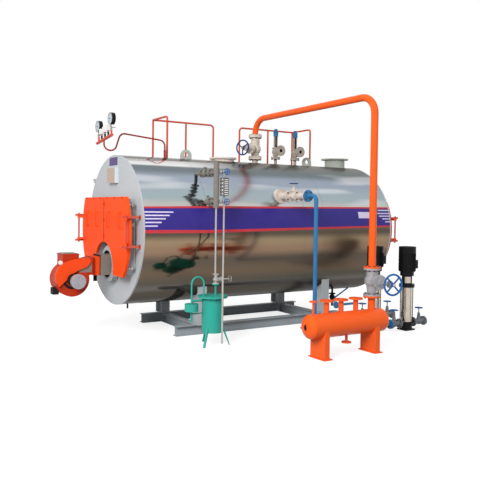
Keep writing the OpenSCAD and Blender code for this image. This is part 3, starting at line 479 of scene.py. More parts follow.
# Finishes: name, colour or its setting, roughness where clean, share of dust, and the rest
ENAMELS = {
    "door": ("door enamel", "door", 0.5, 0.04, dict(shine=0.06)),
    "cover": ("burner cover enamel", srgb(236, 74, 22), 0.35, 0.05, dict(shine=0.1)),
    "pipe": ("pipe enamel", "pipe", 0.3, 0.04, dict(shine=0.16)),
    "burner": ("burner enamel", "burner", 0.4, 0.35, dict(dust=(0.12, 0.02, 0.01), shine=0.1)),
    "primer": ("red oxide paint", "primer", 0.45, 0.2, dict(shine=0.1)),
    "gauge_red": ("gauge pipe paint", srgb(158, 50, 34), 0.45, 0.3,
                  dict(dust=(0.14, 0.03, 0.02), shine=0.1)),
    "plate": ("end plate paint", "plate", 0.45, 0.08, dict(patch=3.0, coat=0.05, shine=0.5)),
    "skid": ("skid paint", "skid", 0.5, 0.35, dict(patch=5.0)),
    "casting": ("cast body paint", "casting", 0.5, 0.32,
                dict(patch=22.0, dust=(0.12, 0.10, 0.08), relief=0.25)),
    "column": ("water column paint", srgb(128, 124, 118), 0.45, 0.35,
               dict(patch=22.0, dust=GRIME, relief=0.2)),
    "bronze": ("safety valve paint", srgb(174, 164, 154), 0.45, 0.35,
               dict(patch=26.0, dust=GRIME, relief=0.2)),
    "cream": ("cream valve paint", srgb(224, 212, 202), 0.45, 0.2,
              dict(patch=22.0, dust=(0.16, 0.13, 0.11), relief=0.2)),
    "lug": ("grey green primer", "lug", 0.5, 0.2, dict()),
    "silver": ("silver valve paint", "silver", 0.4, 0.3,
               dict(patch=25.0, dust=(0.14, 0.13, 0.13), relief=0.25, metallic=0.2)),
    "valve_grey": ("grey valve paint", srgb(124, 128, 134), 0.4, 0.3,
                   dict(patch=25.0, dust=(0.05, 0.05, 0.05), relief=0.25)),
    "teal": ("teal enamel", "teal", 0.36, 0.1, dict(shine=0.15)),
    "blue": ("blue enamel", "blue", 0.36, 0.1, dict(shine=0.15)),
    "wheel": ("wheel enamel", "wheel", 0.35, 0.1, dict(shine=0.1)),
    "navy": ("dark blue enamel", "navy", 0.35, 0.1, dict(shine=0.1)),
    "black": ("black motor paint", (0.006, 0.006, 0.007), 0.32, 0.06,
              dict(dust=(0.018, 0.018, 0.02), shine=0.14)),
    # Black for gaskets, seals and caps, also used as painted shade inside the safety valves and under the
    # burner motor
    "black_rubber_and_shade": ("black gasket", (0.012, 0.011, 0.010), 0.7, 0.05, dict(shine=0.1)),
    "stainless": ("bright stainless", (0.56, 0.50, 0.42), 0.18, 0.25, BARE),
    "tube": ("thin tube", srgb(184, 180, 178), 0.3, 0.15, dict(metallic=0.5, shine=0.5)),
    "zinc": ("zinc fasteners", (0.50, 0.48, 0.45), 0.38, 0.25, BARE),
    "dark_nut": ("oiled nuts", srgb(84, 70, 60), 0.4, 0.3,
                 dict(patch=30.0, dust=(0.02, 0.015, 0.01), metallic=0.4)),
    "alloy": ("cast alloy", srgb(172, 174, 182), 0.4, 0.1, dict(metallic=0.5, shine=0.5)),
    "vent": ("pressed steel vent", srgb(176, 176, 182), 0.5, 0.7,
             dict(patch=120.0, dust=(0.12, 0.12, 0.13), relief=0.3, shine=0.5)),
    "foil": ("insulating foil", srgb(176, 182, 186), 0.35, 0.5,
             dict(patch=40.0, dust=(0.10, 0.10, 0.10), relief=0.4, metallic=0.2, shine=0.5)),
    "duct": ("duct paint", srgb(134, 126, 118), 0.45, 0.4, dict(metallic=0.2)),
    "box_side": ("instrument box", srgb(206, 216, 220), 0.4, 0.05, dict()),
    "box_front": ("instrument door", srgb(184, 162, 146), 0.4, 0.2, dict(patch=30)),
    "dial": ("dial face", srgb(176, 190, 198), 0.3, 0.06, dict(relief=0.0, shine=0.3)),
    "ink": ("dial ink", (0.02, 0.02, 0.02), 0.5, 0.1, dict(relief=0.0)),
    "white": ("white plastic", srgb(232, 230, 228), 0.4, 0.05, dict()),
    "label": ("label film", srgb(70, 42, 104), 0.3, 0.3, dict(patch=30, dust=srgb(120, 98, 150))),
    "film": ("banner film", "film", 0.3, 0.12, dict(patch=4.0, dust=srgb(88, 74, 148))),
    "film_red": ("banner red", srgb(196, 48, 60), 0.35, 0.12, dict()),
    "film_pale": ("banner stripes", srgb(212, 202, 232), 0.3, 0.05, dict()),
}


FINISHES = {}


def finish(name):
    """The finish of that name; they are mixed when the first piece asks for one."""
    if not FINISHES:
        paint = bpy.context.scene.boiler_paint
        FINISHES["cladding"] = polished_cladding()
        for key, (label, colour, gloss, wear, more) in ENAMELS.items():
            if isinstance(colour, str):
                colour = tuple(getattr(paint, colour))
            FINISHES[key] = enamel(label, colour, gloss, wear, **more)
    return FINISHES[name]


def repaint(node, name, test):
    """Gives a second finish to the faces of a modelled part whose centres pass the test."""
    mesh = NODES[node].data
    material = finish(name)
    if material.name not in mesh.materials:
        mesh.materials.append(material)
    index = mesh.materials.find(material.name)
    for face in mesh.polygons:
        c = face.center
        if test(c.x + BEAM_BACK, c.y, c.z):
            face.material_index = index


# Settings


def colour_setting(name, description, value):
    """A colour that the user can change."""
    return FloatVectorProperty(name=name, description=description, subtype="COLOR", size=3,
                               min=0.0, max=1.0, default=value)


class BoilerPaint(bpy.types.PropertyGroup):
    """Colours of the painted pieces."""

    door: colour_setting("Doors", "Smokebox doors", srgb(255, 80, 26))
    pipe: colour_setting("Steam pipe", "Steam pipe, header and its legs", srgb(242, 94, 28))
    burner: colour_setting("Fan housing", "Housing of the burner fan", srgb(186, 54, 26))
    primer: colour_setting("Red oxide", "Handrails and hinge arms", srgb(204, 76, 58))
    plate: colour_setting("End plates", "Front and rear plates, and saddles", srgb(178, 184, 188))
    skid: colour_setting("Skid", "Rails, cross beams and smokeboxes", srgb(162, 172, 179))
    casting: colour_setting("Castings", "Valves on the boiler", srgb(216, 204, 192))
    lug: colour_setting("Lugs", "Lifting lugs and flue outlet", srgb(180, 186, 178))
    silver: colour_setting("Silver valves", "Header valve and glass cocks", srgb(168, 168, 172))
    teal: colour_setting("Pot", "Drain pot and its pipes", srgb(44, 162, 146))
    blue: colour_setting("Feed pipe", "Feed water pipe", srgb(46, 116, 166))
    wheel: colour_setting("Wheels", "Blue handwheels", srgb(30, 96, 164))
    navy: colour_setting("Dark wheels", "Handwheels on the boiler", srgb(20, 64, 122))
    film: colour_setting("Banner", "Long band on the side of the shell", srgb(50, 40, 128))


class BoilerSizes(bpy.types.PropertyGroup):
    """Sizes of the pieces that the scene adds."""

    banner_low: FloatProperty(name="Banner bottom", unit="LENGTH", default=1.388, min=1.3, max=1.5,
                              description="Height of the band's lower edge at the front")
    banner_high: FloatProperty(name="Banner top", unit="LENGTH", default=1.712, min=1.6, max=1.8,
                               description="Height of the band's upper edge at the front")
    bolt: FloatProperty(name="Flange bolt", unit="LENGTH", default=0.027, min=0.015, max=0.035,
                        description="Size over the corners of the large flange bolts")
    ribs: IntProperty(name="Motor ribs", default=36, min=12, max=60,
                      description="Cooling ribs round each pump motor")


class BoilerStudio(bpy.types.PropertyGroup):
    """Light and floor."""

    key: FloatProperty(name="Main light", description="Power of the large light at the left",
                       default=1120.0, min=0.0, subtype="POWER")
    fill: FloatProperty(name="Fill light", description="Power of the light at the right",
                        default=60.0, min=0.0, subtype="POWER")
    sky: FloatProperty(name="Room light", description="Strength of the light from all round",
                       default=0.52, min=0.0, max=3.0)


# Operators


class BOILER_OT_stage(bpy.types.Operator):
    """Floor, lights, room light and camera"""

    bl_idname = "boiler.stage"
    bl_label = "Studio"

    # Share of the room light near the floor and at the ceiling
    ROOM_LOW, ROOM_HIGH = 0.85, 1.5
    FLOOR_REACH, FLOOR_DROP, FLOOR_GLOW = 60, 0.0005, 0.78
    FLOOR_TONE = (0.35, 0.35, 0.35, 1)
    # Place, aim and size of the lights
    MAIN_LIGHT = (at(-7.0, -7.0, 6.0), at(1.2, -0.8, 1.2), 4.0)
    FILL_LIGHT = (at(8.5, -7.5, 4.0), at(2.4, -0.8, 1.0), 5.0)
    CAMERA_PLACE = at(-3.0341, -8.0119, 1.7082)

    def execute(self, context):
        scene = context.scene
        studio = scene.boiler_studio
        scene.view_settings.view_transform = "Standard"
        self.room(scene, studio.sky)
        self.floor()
        self.lamp("main light", *self.MAIN_LIGHT, studio.key)
        self.lamp("fill light", *self.FILL_LIGHT, studio.fill)
        self.camera(scene)
        return {"FINISHED"}

    def room(self, scene, sky):
        """Soft light that grows towards the ceiling; the camera and mirrors see plain white."""
        scene.world = bpy.data.worlds.new("studio room")
        scene.world.use_nodes = True
        net = Net(scene.world.node_tree)
        net.nodes.clear()
        place = net.add("TexCoord").outputs["Generated"]
        rise = net.add("SeparateXYZ", Vector=place).outputs["Z"]
        strength = net.span(rise, 0.0, 1.0, sky * self.ROOM_LOW, sky * self.ROOM_HIGH)
        soft = net.add("Background", Color=WHITE, Strength=strength)
        seen = net.add("Background", Color=WHITE, Strength=1.0)
        path = net.add("LightPath").outputs
        direct = net.maths("MAXIMUM", path["Is Camera Ray"], path["Is Glossy Ray"])
        direct = net.maths("MAXIMUM", direct, path["Is Transmission Ray"])
        net.add("OutputWorld", Surface=net.both("MixShader", soft, seen, Fac=direct))

    def floor(self):
        """A wide pale floor that takes shadows and looks white to the camera and in mirrors."""
        mesh = bpy.data.meshes.new("floor")
        r = self.FLOOR_REACH
        mesh.from_pydata([(-r, -r, 0), (r, -r, 0), (r, r, 0), (-r, r, 0)], [], [(0, 1, 2, 3)])
        obj = new_object("floor", mesh)
        obj.location.z = -self.FLOOR_DROP
        material, net, skin = finish_of("pale floor")
        net.fill(skin, Base_Color=self.FLOOR_TONE, Roughness=0.9, Specular_IOR_Level=0.1)
        path = net.add("LightPath").outputs
        seen = net.maths("MAXIMUM", path["Is Camera Ray"], path["Is Glossy Ray"])
        glow = net.add("Emission", Color=WHITE, Strength=net.maths("MULTIPLY", seen, self.FLOOR_GLOW))
        net.fill(net.nodes["Material Output"], Surface=net.both("AddShader", skin, glow))
        mesh.materials.append(material)

    def lamp(self, name, place, aim, size, power):
        """A square light that mirrors don't show."""
        data = bpy.data.lights.new(name, "AREA")
        data.shape = "SQUARE"
        data.size = size
        data.energy = power
        obj = new_object(name, data)
        obj.location = place
        obj.rotation_euler = (aim - place).to_track_quat("-Z", "Y").to_euler()
        obj.visible_glossy = False

    def camera(self, scene):
        """The photograph's viewpoint, at eye level off the front corner."""
        yaw, pitch, roll = 0.5460945, -0.0242995, 0.0125174
        level = math.cos(pitch)
        ahead = Vector((math.sin(yaw) * level, math.cos(yaw) * level, math.sin(pitch)))
        side = Vector((math.cos(yaw), -math.sin(yaw), 0))
        rise = side.cross(ahead)
        right = side * math.cos(roll) + rise * math.sin(roll)
        up = rise * math.cos(roll) - side * math.sin(roll)
        data = bpy.data.cameras.new("photo camera")
        data.sensor_width, data.lens = 36.0, 47.105
        data.shift_x, data.shift_y = 0.0193, -0.0351
        data.clip_end = 200.0
        turn = Matrix((right, up, -ahead)).transposed().to_4x4()
        scene.camera = new_object("photo camera", data)
        scene.camera.matrix_world = Matrix.Translation(self.CAMERA_PLACE) @ turn


# The modelled parts by their finish
PAINTED = {
    "cladding": "shell",
    "plate": "front_plate rear_plate saddles",
    "skid": "front_smokebox rear_smokebox rails cross_beams",
    "door": "front_door_near front_door_far rear_door_near rear_door_far",
    "primer": "front_davits rear_davits front_handrail rear_handrail",
    "duct": "burner_duct",
    "burner": "burner_fan",
    "cover": "burner_cover",
    "alloy": "burner_motor",
    "box_side": "instrument_box",
    "gauge_red": "gauge_pipe",
    "black": "gauges pump_motors blowdown_valve",
    "cream": "manway",
    "lug": "lifting_lugs flue_outlet",
    "casting": "tube_plate main_steam_valve feed_valve",
    "bronze": "safety_valves",
    "pipe": "steam_pipe steam_header header_nozzles header_legs",
    "silver": "header_valve gauge_glass",
    "column": "water_column",
    "tube": "drain_tubes",
    "blue": "feed_pipe",
    "teal": "condensate_pot pot_fittings",
    "stainless": "pumps",
    "valve_grey": "pump_valves",
    "navy": "main_wheel feed_wheel",
    "wheel": "header_wheel blowdown_lever pump_wheel_near_in "
             "pump_wheel_near_out pump_wheel_far_in pump_wheel_far_out",
}


class BOILER_OT_paint(bpy.types.Operator):
    """Finishes of the modelled parts"""

    bl_idname = "boiler.paint"
    bl_label = "Paint the parts"

    def execute(self, context):
        coats = {name: coat for coat, names in PAINTED.items() for name in names.split()}
        for name, obj in NODES.items():
            mesh = obj.data
            mesh.materials.clear()
            mesh.materials.append(finish(coats[name]))
            if not mesh.has_custom_normals:
                shade_round(mesh, PART_EDGE)
        duct_collar, motor_vent, motor_seat, bonnet_top = -0.233, -0.3955, -0.350, 2.827
        repaint("burner_duct", "cover", lambda x, y, z: x < duct_collar)
        repaint("burner_motor", "vent", lambda x, y, z: y < motor_vent)
        repaint("burner_motor", "black_rubber_and_shade", lambda x, y, z: y > motor_seat)
        repaint("safety_valves", "blue", lambda x, y, z: z > bonnet_top)
        # Painted shade: black on the spring inside the open bonnets and inside the outlets of the safety
        # valves
        repaint("safety_valves", "black_rubber_and_shade", self.bonnet_painted_shade)
        repaint("safety_valves", "black_rubber_and_shade", self.outlet_painted_shade)
        pipe_foot, pipe_bend = 2.8245, -0.2
        repaint("steam_pipe", "casting", lambda x, y, z: z < pipe_foot and y > pipe_bend)
        frame_low, frame_high, wheels = 1.855, 2.095, GLASS[1] - 0.062
        repaint("gauge_glass", "column", lambda x, y, z: frame_low < z < frame_high)
        repaint("gauge_glass", "wheel", lambda x, y, z: y < wheels)
        cock_x, cock_z = 1.085, 0.75
        repaint("drain_tubes", "zinc", lambda x, y, z: x > cock_x and z > cock_z)
        repaint("pumps", "black", self.dark_pump_face)
        bar_front, bar_low, stem_high = -0.12, -0.03, 0.132
        repaint("gauge_pipe", "primer", lambda x, y, z: x < bar_front and over_bar(y, z) > bar_low)
        repaint("gauge_pipe", "black_rubber_and_shade", lambda x, y, z: x < bar_front and self.bar_socket(y, z))
        repaint("gauges", "zinc", lambda x, y, z: over_bar(y, z) < stem_high)
        return {"FINISHED"}

    def bonnet_painted_shade(self, x, y, z):
        """Inside the open bonnet of a safety valve: the spring and its slot in black, as painted shade."""
        low, high, radius = 2.652, 2.827, 0.026
        return low < z < high and min(math.hypot(x - s, y) for s in SAFETY_X) < radius

    def outlet_painted_shade(self, x, y, z):
        """Inside the outlet of a safety valve, in black as painted shade."""
        face, back, axis, radius = -0.1435, -0.075, 2.597, 0.0255
        return face < y < back and min(math.hypot(x - s, z - axis) for s in SAFETY_X) < radius

    def dark_pump_face(self, x, y, z):
        """Cast iron of a pump: its foot, its lantern, and what stands out from the sleeve."""
        foot, skirt, sleeve = 0.1225, 0.049, 0.088
        name = min(PUMPS, key=lambda key: math.hypot(x - PUMPS[key][0], y - PUMPS[key][1]))
        px, py, base = PUMPS[name]
        stands_out = math.hypot(x - px, y - py) > sleeve and z > base
        return base - 0.001 < z < base + foot or z > LANTERN[name][0] - skirt or stands_out

    def bar_socket(self, y, z):
        """On the sockets of the pressure switches."""
        height, middle, half = 0.024, -0.026, 0.14
        along = (y - GAUGE_BAR[1]) * math.cos(BAR_TILT) - (z - GAUGE_BAR[2]) * math.sin(BAR_TILT)
        return over_bar(y, z) > height and abs(along - middle) < half


def band(shape, x0, x1, low, high, lift, steps=60, rows=10):
    """A sheet on the near side of the shell; low and high are heights as functions of x."""
    verts, faces = [], []
    r = SHELL_R + lift
    for i in range(steps + 1):
        x = x0 + (x1 - x0) * i / steps
        a0 = math.asin((low(x) - AXIS_Z) / SHELL_R)
        a1 = math.asin((high(x) - AXIS_Z) / SHELL_R)
        for k in range(rows + 1):
            a = a0 + (a1 - a0) * k / rows
            verts.append(at(x, -r * math.cos(a), AXIS_Z + r * math.sin(a)))
    for i in range(steps):
        for k in range(rows):
            q = i * (rows + 1) + k
            faces.append((q, q + rows + 1, q + rows + 2, q + 1))
    return shape.add(verts, faces)


class BOILER_OT_banner(bpy.types.Operator):
    """Blank blue band with red edges and pale stripes along the near side"""

    bl_idname = "boiler.banner"
    bl_label = "Side banner"

    ENDS = (0.021, 4.109)
    # How far the film, its edges and its stripes stand off the shell
    FILM_LIFT, EDGE_LIFT, STRIPE_LIFT = 0.0008, 0.0014, 0.0016
    # Rise of the band over its height at the front plate, and widths of its edges: (x, value)
    LOW_RISE = ((0.0, 0.0), (0.9, -0.005), (4.0, 0.055), (4.11, 0.056))
    HIGH_RISE = ((0.0, 0.0), (0.93, 0.016), (4.0, 0.035), (4.11, 0.036))
    LOW_EDGE = ((0.0, 0.041), (0.9, 0.039), (4.0, 0.025), (4.11, 0.025))
    HIGH_EDGE = ((0.0, 0.020), (0.93, 0.027), (4.0, 0.022), (4.11, 0.022))
    # Stripes as (height, inner end); they begin or end just inside the band
    FRONT_STRIPES = ((1.646, 0.411), (1.605, 0.354), (1.564, 0.298), (1.519, 0.240), (1.475, 0.187))
    REAR_STRIPES = ((1.698, 3.884), (1.651, 3.862), (1.610, 3.893), (1.568, 3.956), (1.524, 4.011))
    STRIPE_START, STRIPE_END, STRIPE_HALF = 0.022, 4.108, 0.0085
    PATCH_START, PATCH_END, PATCH_LOW, PATCH_HIGH = 3.475, 3.700, 1.577, 1.670

    def execute(self, context):
        sizes = context.scene.boiler_sizes

        def low(x):
            return sizes.banner_low + between(x, self.LOW_RISE)

        def high(x):
            return sizes.banner_high + between(x, self.HIGH_RISE)

        def low_edge(x):
            return low(x) + between(x, self.LOW_EDGE)

        def high_edge(x):
            return high(x) - between(x, self.HIGH_EDGE)

        piece("banner_film", band(Shape(), *self.ENDS, low, high, self.FILM_LIFT), "film")
        edge = band(Shape(), *self.ENDS, low, low_edge, self.EDGE_LIFT, rows=2)
        piece("banner_edge_low", edge, "film_red")
        edge = band(Shape(), *self.ENDS, high_edge, high, self.EDGE_LIFT, rows=2)
        piece("banner_edge_high", edge, "film_red")
        stripes = Shape()
        for z, end in self.FRONT_STRIPES:
            self.stripe(stripes, self.STRIPE_START, end, z)
        for z, start in self.REAR_STRIPES:
            self.stripe(stripes, start, self.STRIPE_END, z)
        band(stripes, self.PATCH_START, self.PATCH_END, lambda x: self.PATCH_LOW,
             lambda x: self.PATCH_HIGH, self.STRIPE_LIFT, 8, 4)
        piece("banner_stripes", stripes, "film_pale")
        return {"FINISHED"}

    def stripe(self, shape, start, end, z):
        """One narrow stripe with its middle at height z."""
        band(shape, start, end, lambda x: z - self.STRIPE_HALF, lambda x: z + self.STRIPE_HALF,
             self.STRIPE_LIFT, 8, 2)


class BOILER_OT_doors(bpy.types.Operator):
    """Bolts, seam, clamps and swing bolts of the smokebox doors"""

    bl_idname = "boiler.doors"
    bl_label = "Door fittings"

    TOP_BOLTS = {"front_door_near": (-0.121, -0.389, -0.649), "front_door_far": (0.146, 0.400, 0.678)}
    TOP_BOLT_Z = 1.818
    TOP_BOLT = ((0, 0), (0.013, 0), (0.013, 0.008), (0.006, 0.012), (0, 0.012))
    SEAL = ((DOOR_FACE - 0.001, -0.0075, 1.245), (DOOR_FACE, 0.0065, 1.826))
    CLAMP = ((0, 0), (0.017, 0), (0.017, 0.009), (0.009, 0.014), (0, 0.014))
    CLAMP_Y, CLAMP_HEIGHTS = -0.010, (1.740, 1.526, 1.322)
    SWING_HEIGHTS = (1.729, 1.484, 0.948)

    def execute(self, context):
        for body, places in self.TOP_BOLTS.items():
            heads = Shape()
            for y in places:
                heads.turned(self.TOP_BOLT, at(DOOR_FACE + 0.001, y, self.TOP_BOLT_Z), FRONT, 6)
            piece(body + "_top_bolts", heads, "burner", body)
        piece("front_door_near_seal", Shape().block(self.SEAL), "black_rubber_and_shade", "front_door_near")
        clamps = Shape()
        for z in self.CLAMP_HEIGHTS:
            clamps.turned(self.CLAMP, at(DOOR_FACE, self.CLAMP_Y, z), FRONT, 16)
        piece("front_door_near_clamps", clamps, "burner", "front_door_near")
        piece("swing_bolts_near", self.swing_bolts(-1), "zinc")
        piece("swing_bolts_far", self.swing_bolts(1), "door")
        return {"FINISHED"}

    def swing_bolts(self, side):
        """Bolts that swing off the door rim, on one side of the smokebox."""
        shape = Shape()
        seat, y = side * 0.744, side * 0.790
        front, back, half = -0.078, -0.034, 0.007
        pin, pin_half, bolt_end, nut, tie = -0.056, 0.022, -0.104, -0.088, -0.030
        for z in self.SWING_HEIGHTS:
            shape.box(at(front, min(seat, y), z - half), at(back, max(seat, y), z + half))
            shape.rod(at(pin, y, z - pin_half), at(pin, y, z + pin_half), 0.015)
            shape.rod(at(pin, y, z), at(bolt_end, y, z), 0.008)
            shape.bolt(at(nut, y, z), FRONT, 0.034, 0.014)
        return shape.tube([at(tie, y, 0.945), at(tie, y, 1.745)], 0.0045, 10)


class BOILER_OT_gauges(bpy.types.Operator):
    """Dials, rims, cocks and pressure switches on the gauge bar"""

    bl_idname = "boiler.gauges"
    bl_label = "Pressure gauges"

    GAUGE_ALONG = (-0.262, 0.215)
    SWITCH_ALONG = (-0.149, -0.026, 0.097)
    DIAL_HEIGHT, DIAL_OUT = 0.216, -0.012
    RIM = ((0.0785, 0.002), (0.0785, 0.005), (0.070, 0.006), (0.069, 0.001))
    FACE = ((0, 0.0015), (0.0695, 0.0015))
    HUB = ((0, 0.006), (0.007, 0.006), (0.007, 0.001))
    # Scale: marks from 225 degrees down through 270, each sixth one long
    MARKS, LONG_EVERY, FIRST, SWEEP, POINTER = 24, 6, 225, 270, 160
    MARK_END, LONG_START, SHORT_START = 0.0625, 0.050, 0.056
    SWITCH_NECK = ((0.016, 0), (0.016, 0.016), (0.009, 0.020), (0.009, 0.030), (0, 0.030))
    NECK_HEIGHT, SWITCH_HEIGHT, COCK_HEIGHT = 0.062, 0.088, 0.096

    def execute(self, context):
        rims, faces, marks = Shape(), Shape(), Shape()
        for along in self.GAUGE_ALONG:
            centre = on_bar(along, self.DIAL_HEIGHT, self.DIAL_OUT)
            rims.turned(self.RIM, centre, FRONT, 48)
            faces.turned(self.FACE, centre, FRONT, 48)
            self.scale(marks, centre)
        piece("gauge_rims", rims, "zinc")
        piece("gauge_faces", faces, "dial")
        piece("gauge_marks", marks, "ink")
        self.switches()
        return {"FINISHED"}

    def clock(self, degrees):
        """Directions out along a hand of the dial and across it."""
        a = math.radians(degrees)
        out = Vector((0, -math.cos(a), math.sin(a)))
        return out, Vector((0, out.z, -out.y))

    def scale(self, marks, centre):
        """Marks, pointer and hub of one dial."""
        front = centre + Vector((-0.0020, 0, 0))
        for i in range(self.MARKS + 1):
            out, across = self.clock(self.FIRST - self.SWEEP * i / self.MARKS)
            is_long = i % self.LONG_EVERY == 0
            start = front + out * (self.LONG_START if is_long else self.SHORT_START)
            end = front + out * self.MARK_END
            across = across * (0.0016 if is_long else 0.0008)
            marks.add([start - across, start + across, end + across, end - across], [(0, 1, 2, 3)])
        front = centre + Vector((-0.0028, 0, 0))
        out, across = self.clock(self.POINTER)
        across = across * 0.003
        tail = front - out * 0.015
        marks.add([tail - across, tail + across, front + out * 0.052], [(0, 1, 2)])
        marks.turned(self.HUB, centre, FRONT, 16)

    def switches(self):
        """Pressure switches between the dials, and the handles of the gauge cocks."""
        boxes, necks, cocks = Shape(), Shape(), Shape()
        for along in self.SWITCH_ALONG:
            rise = on_bar(along, 1.0) - on_bar(along, 0.0)
            necks.turned(self.SWITCH_NECK, on_bar(along, self.NECK_HEIGHT), rise, 16)
            seat = on_bar(along, self.SWITCH_HEIGHT)
            boxes.box(seat - Vector((0.028, 0.031, 0)), seat + Vector((0.034, 0.031, 0.066)))
        piece("pressure_switches", boxes, "white")
        piece("pressure_switch_necks", necks, "zinc")
        for along in self.GAUGE_ALONG:
            spot = on_bar(along, self.COCK_HEIGHT)
            cocks.rod(spot, spot + Vector((0.030, -0.030, 0.004)), 0.007)
            cocks.rod(spot + Vector((0.018, -0.034, 0.003)), spot + Vector((0.046, -0.022, 0.005)), 0.006)
        piece("gauge_cock_handles", cocks, "zinc")


class BOILER_OT_flange_bolts(bpy.types.Operator):
    """Bolts and nuts of the flanges"""

    bl_idname = "boiler.flange_bolts"
    bl_label = "Flange bolts"

    # Where the heads sit, their direction, bolt circle, count, share of the bolt size, and grip
    FLANGES = (
        ([(*MAIN_VALVE, z) for z in (2.492, 2.822)], UP, 0.160, 8, 1.0, 0.044),
        ([(*HEADER_VALVE, z) for z in (0.696, 1.026)], UP, 0.160, 8, 1.0, 0.044),
        ([(x, 0, 2.506) for x in SAFETY_X], UP, 0.112, 4, 0.8, 0.032),
        ([(0.888, -1.078, z) for z in (1.784, 2.150)], NEAR, 0.088, 4, 0.65, 0.034),
        ([(0.888, y, 2.150) for y in (-0.848, -0.978)], NEAR, 0.084, 4, 0.6, 0.016),
        ([(2.095, y, 1.878) for y in (-1.125, -1.324, -1.521)], NEAR, 0.124, 4, 0.8, 0.034),
    )
    PORT_Z, PORT_SHARE = 0.104, 0.75
    VALVE_X, VALVE_PCD, VALVE_GRIP = 0.328, 0.100, 0.036
    PORT_X, PORT_PCD = 0.148, 0.104
    POT_LID, POT_PCD = (0.830, -1.245, 0.617), 0.330

    def execute(self, context):
        size = context.scene.boiler_sizes.bolt
        shape = Shape()
        for seats, direction, pcd, count, share, grip in self.FLANGES:
            for seat in seats:
                shape.bolt_circle(at(*seat), direction, pcd, count, size * share, grip)
        piece("flange_bolts", shape, "dark_nut")
        ports = Shape()
        small = size * self.PORT_SHARE
        for x, y, base in PUMPS.values():
            z = base + self.PORT_Z
            ports.bolt_circle(at(x - self.VALVE_X, y, z), FRONT, self.VALVE_PCD, 4, small, self.VALVE_GRIP)
            for side in (-1, 1):
                ports.bolt_circle(at(x + side * self.PORT_X, y, z), (side, 0, 0), self.PORT_PCD, 4, small)
        piece("pump_flange_bolts", ports, "dark_nut")
        lid = Shape().bolt_circle(at(*self.POT_LID), UP, self.POT_PCD, 12, 0.022, 0.022)
        piece("pot_bolts", lid, "teal")
        return {"FINISHED"}


class BOILER_OT_pumps(bpy.types.Operator):
    """Cooling ribs, covers and guards of the feed pumps"""

    bl_idname = "boiler.pumps"
    bl_label = "Feed pumps"

    # Ribs start over the motor's foot and stop under its top; none behind the terminal box
    RIB_FOOT, RIB_TOP, BOX_ANGLE = 0.012, 0.094, 0.5
    # Section of a rib: (radius, half width)
    RIB = ((0.113, -0.002), (0.1205, -0.0012), (0.1205, 0.0012), (0.113, 0.002))
    CAP = ((0.0975, -0.010), (0.0975, 0), (0, 0))
    GUARD_RADII, GUARD_LOW, GUARD_HIGH = (0.0735, 0.0750), 0.014, 0.012
    GUARD_FIRST, GUARD_LAST, GUARD_STEPS = -158.0, -92.0, 12

    def execute(self, context):
        count = context.scene.boiler_sizes.ribs
        ribs, caps, guards = Shape(), Shape(), Shape()
        for name, (x, y, _) in PUMPS.items():
            low, high = MOTOR_FOOT[name] + self.RIB_FOOT, MOTOR_TOP[name] - self.RIB_TOP
            for i in range(count):
                a = 2 * math.pi * i / count
                if abs(math.atan2(math.sin(a), math.cos(a))) >= self.BOX_ANGLE:
                    self.rib(ribs, x, y, a, low, high)
            caps.turned(self.CAP, at(x, y, MOTOR_TOP[name] + 0.0005), UP, 40)
            self.guard(guards, x, y, *LANTERN[name])
        piece("motor_ribs", ribs, "black")
        piece("motor_caps", caps, "black_rubber_and_shade")
        piece("pump_guards", guards, "stainless")
        return {"FINISHED"}

    def rib(self, shape, x, y, a, low, high):
        """One cooling rib at angle a."""
        c, s = math.cos(a), math.sin(a)
        verts = [at(x + r * c - t * s, y + r * s + t * c, z) for z in (low, high) for r, t in self.RIB]
        shape.add(verts, [(0, 1, 5, 4), (1, 2, 6, 5), (2, 3, 7, 6), (4, 5, 6, 7), (3, 2, 1, 0)])

    def guard(self, shape, x, y, low, high):
        """A curved sheet over the open side of the lantern."""
        verts, faces = [], []
        steps = self.GUARD_STEPS
        for i in range(steps + 1):
            a = math.radians(self.GUARD_FIRST + (self.GUARD_LAST - self.GUARD_FIRST) * i / steps)
            for r in self.GUARD_RADII:
                for z in (low + self.GUARD_LOW, high - self.GUARD_HIGH):
                    verts.append(at(x + r * math.cos(a), y + r * math.sin(a), z))
        for q in range(0, 4 * steps, 4):
            faces += [(q, q + 1, q + 5, q + 4), (q + 2, q + 6, q + 7, q + 3),
                      (q, q + 4, q + 6, q + 2), (q + 1, q + 3, q + 7, q + 5)]
        end = 4 * steps
        faces += [(0, 2, 3, 1), (end, end + 1, end + 3, end + 2)]
        shape.add(verts, faces)


class BOILER_OT_glass(bpy.types.Operator):
    """Nuts and louvres of the water gauge glass"""

    bl_idname = "boiler.glass"
    bl_label = "Water gauge glass"

    def execute(self, context):
        # The slats and the window lie on the near face of the glass, the nuts on its front
        x, y = GLASS
        nuts, slats = Shape(), Shape()
        row, nut_out, nut_low, nut_step = (-0.030, 0.022), 0.038, 1.885, 0.044
        for i in range(5):
            for across in row:
                nuts.bolt(at(x - nut_out, y + across, nut_low + i * nut_step), FRONT, 0.021, 0.010)
        back, face, half, low, step, high = 0.0500, 0.0545, 0.026, 1.872, 0.023, 0.011
        for i in range(9):
            z = low + i * step
            slats.block(((x - half, y - face, z), (x + half, y - back, z + high)))
        face, half, low, high = 0.0515, 0.030, 1.868, 2.078
        window = Shape().block(((x - half, y - face, low), (x + half, y - back, high)))
        piece("glass_frame_nuts", nuts, "white")
        piece("glass_louvres", slats, "white")
        piece("glass_window", window, "black_rubber_and_shade")
        return {"FINISHED"}


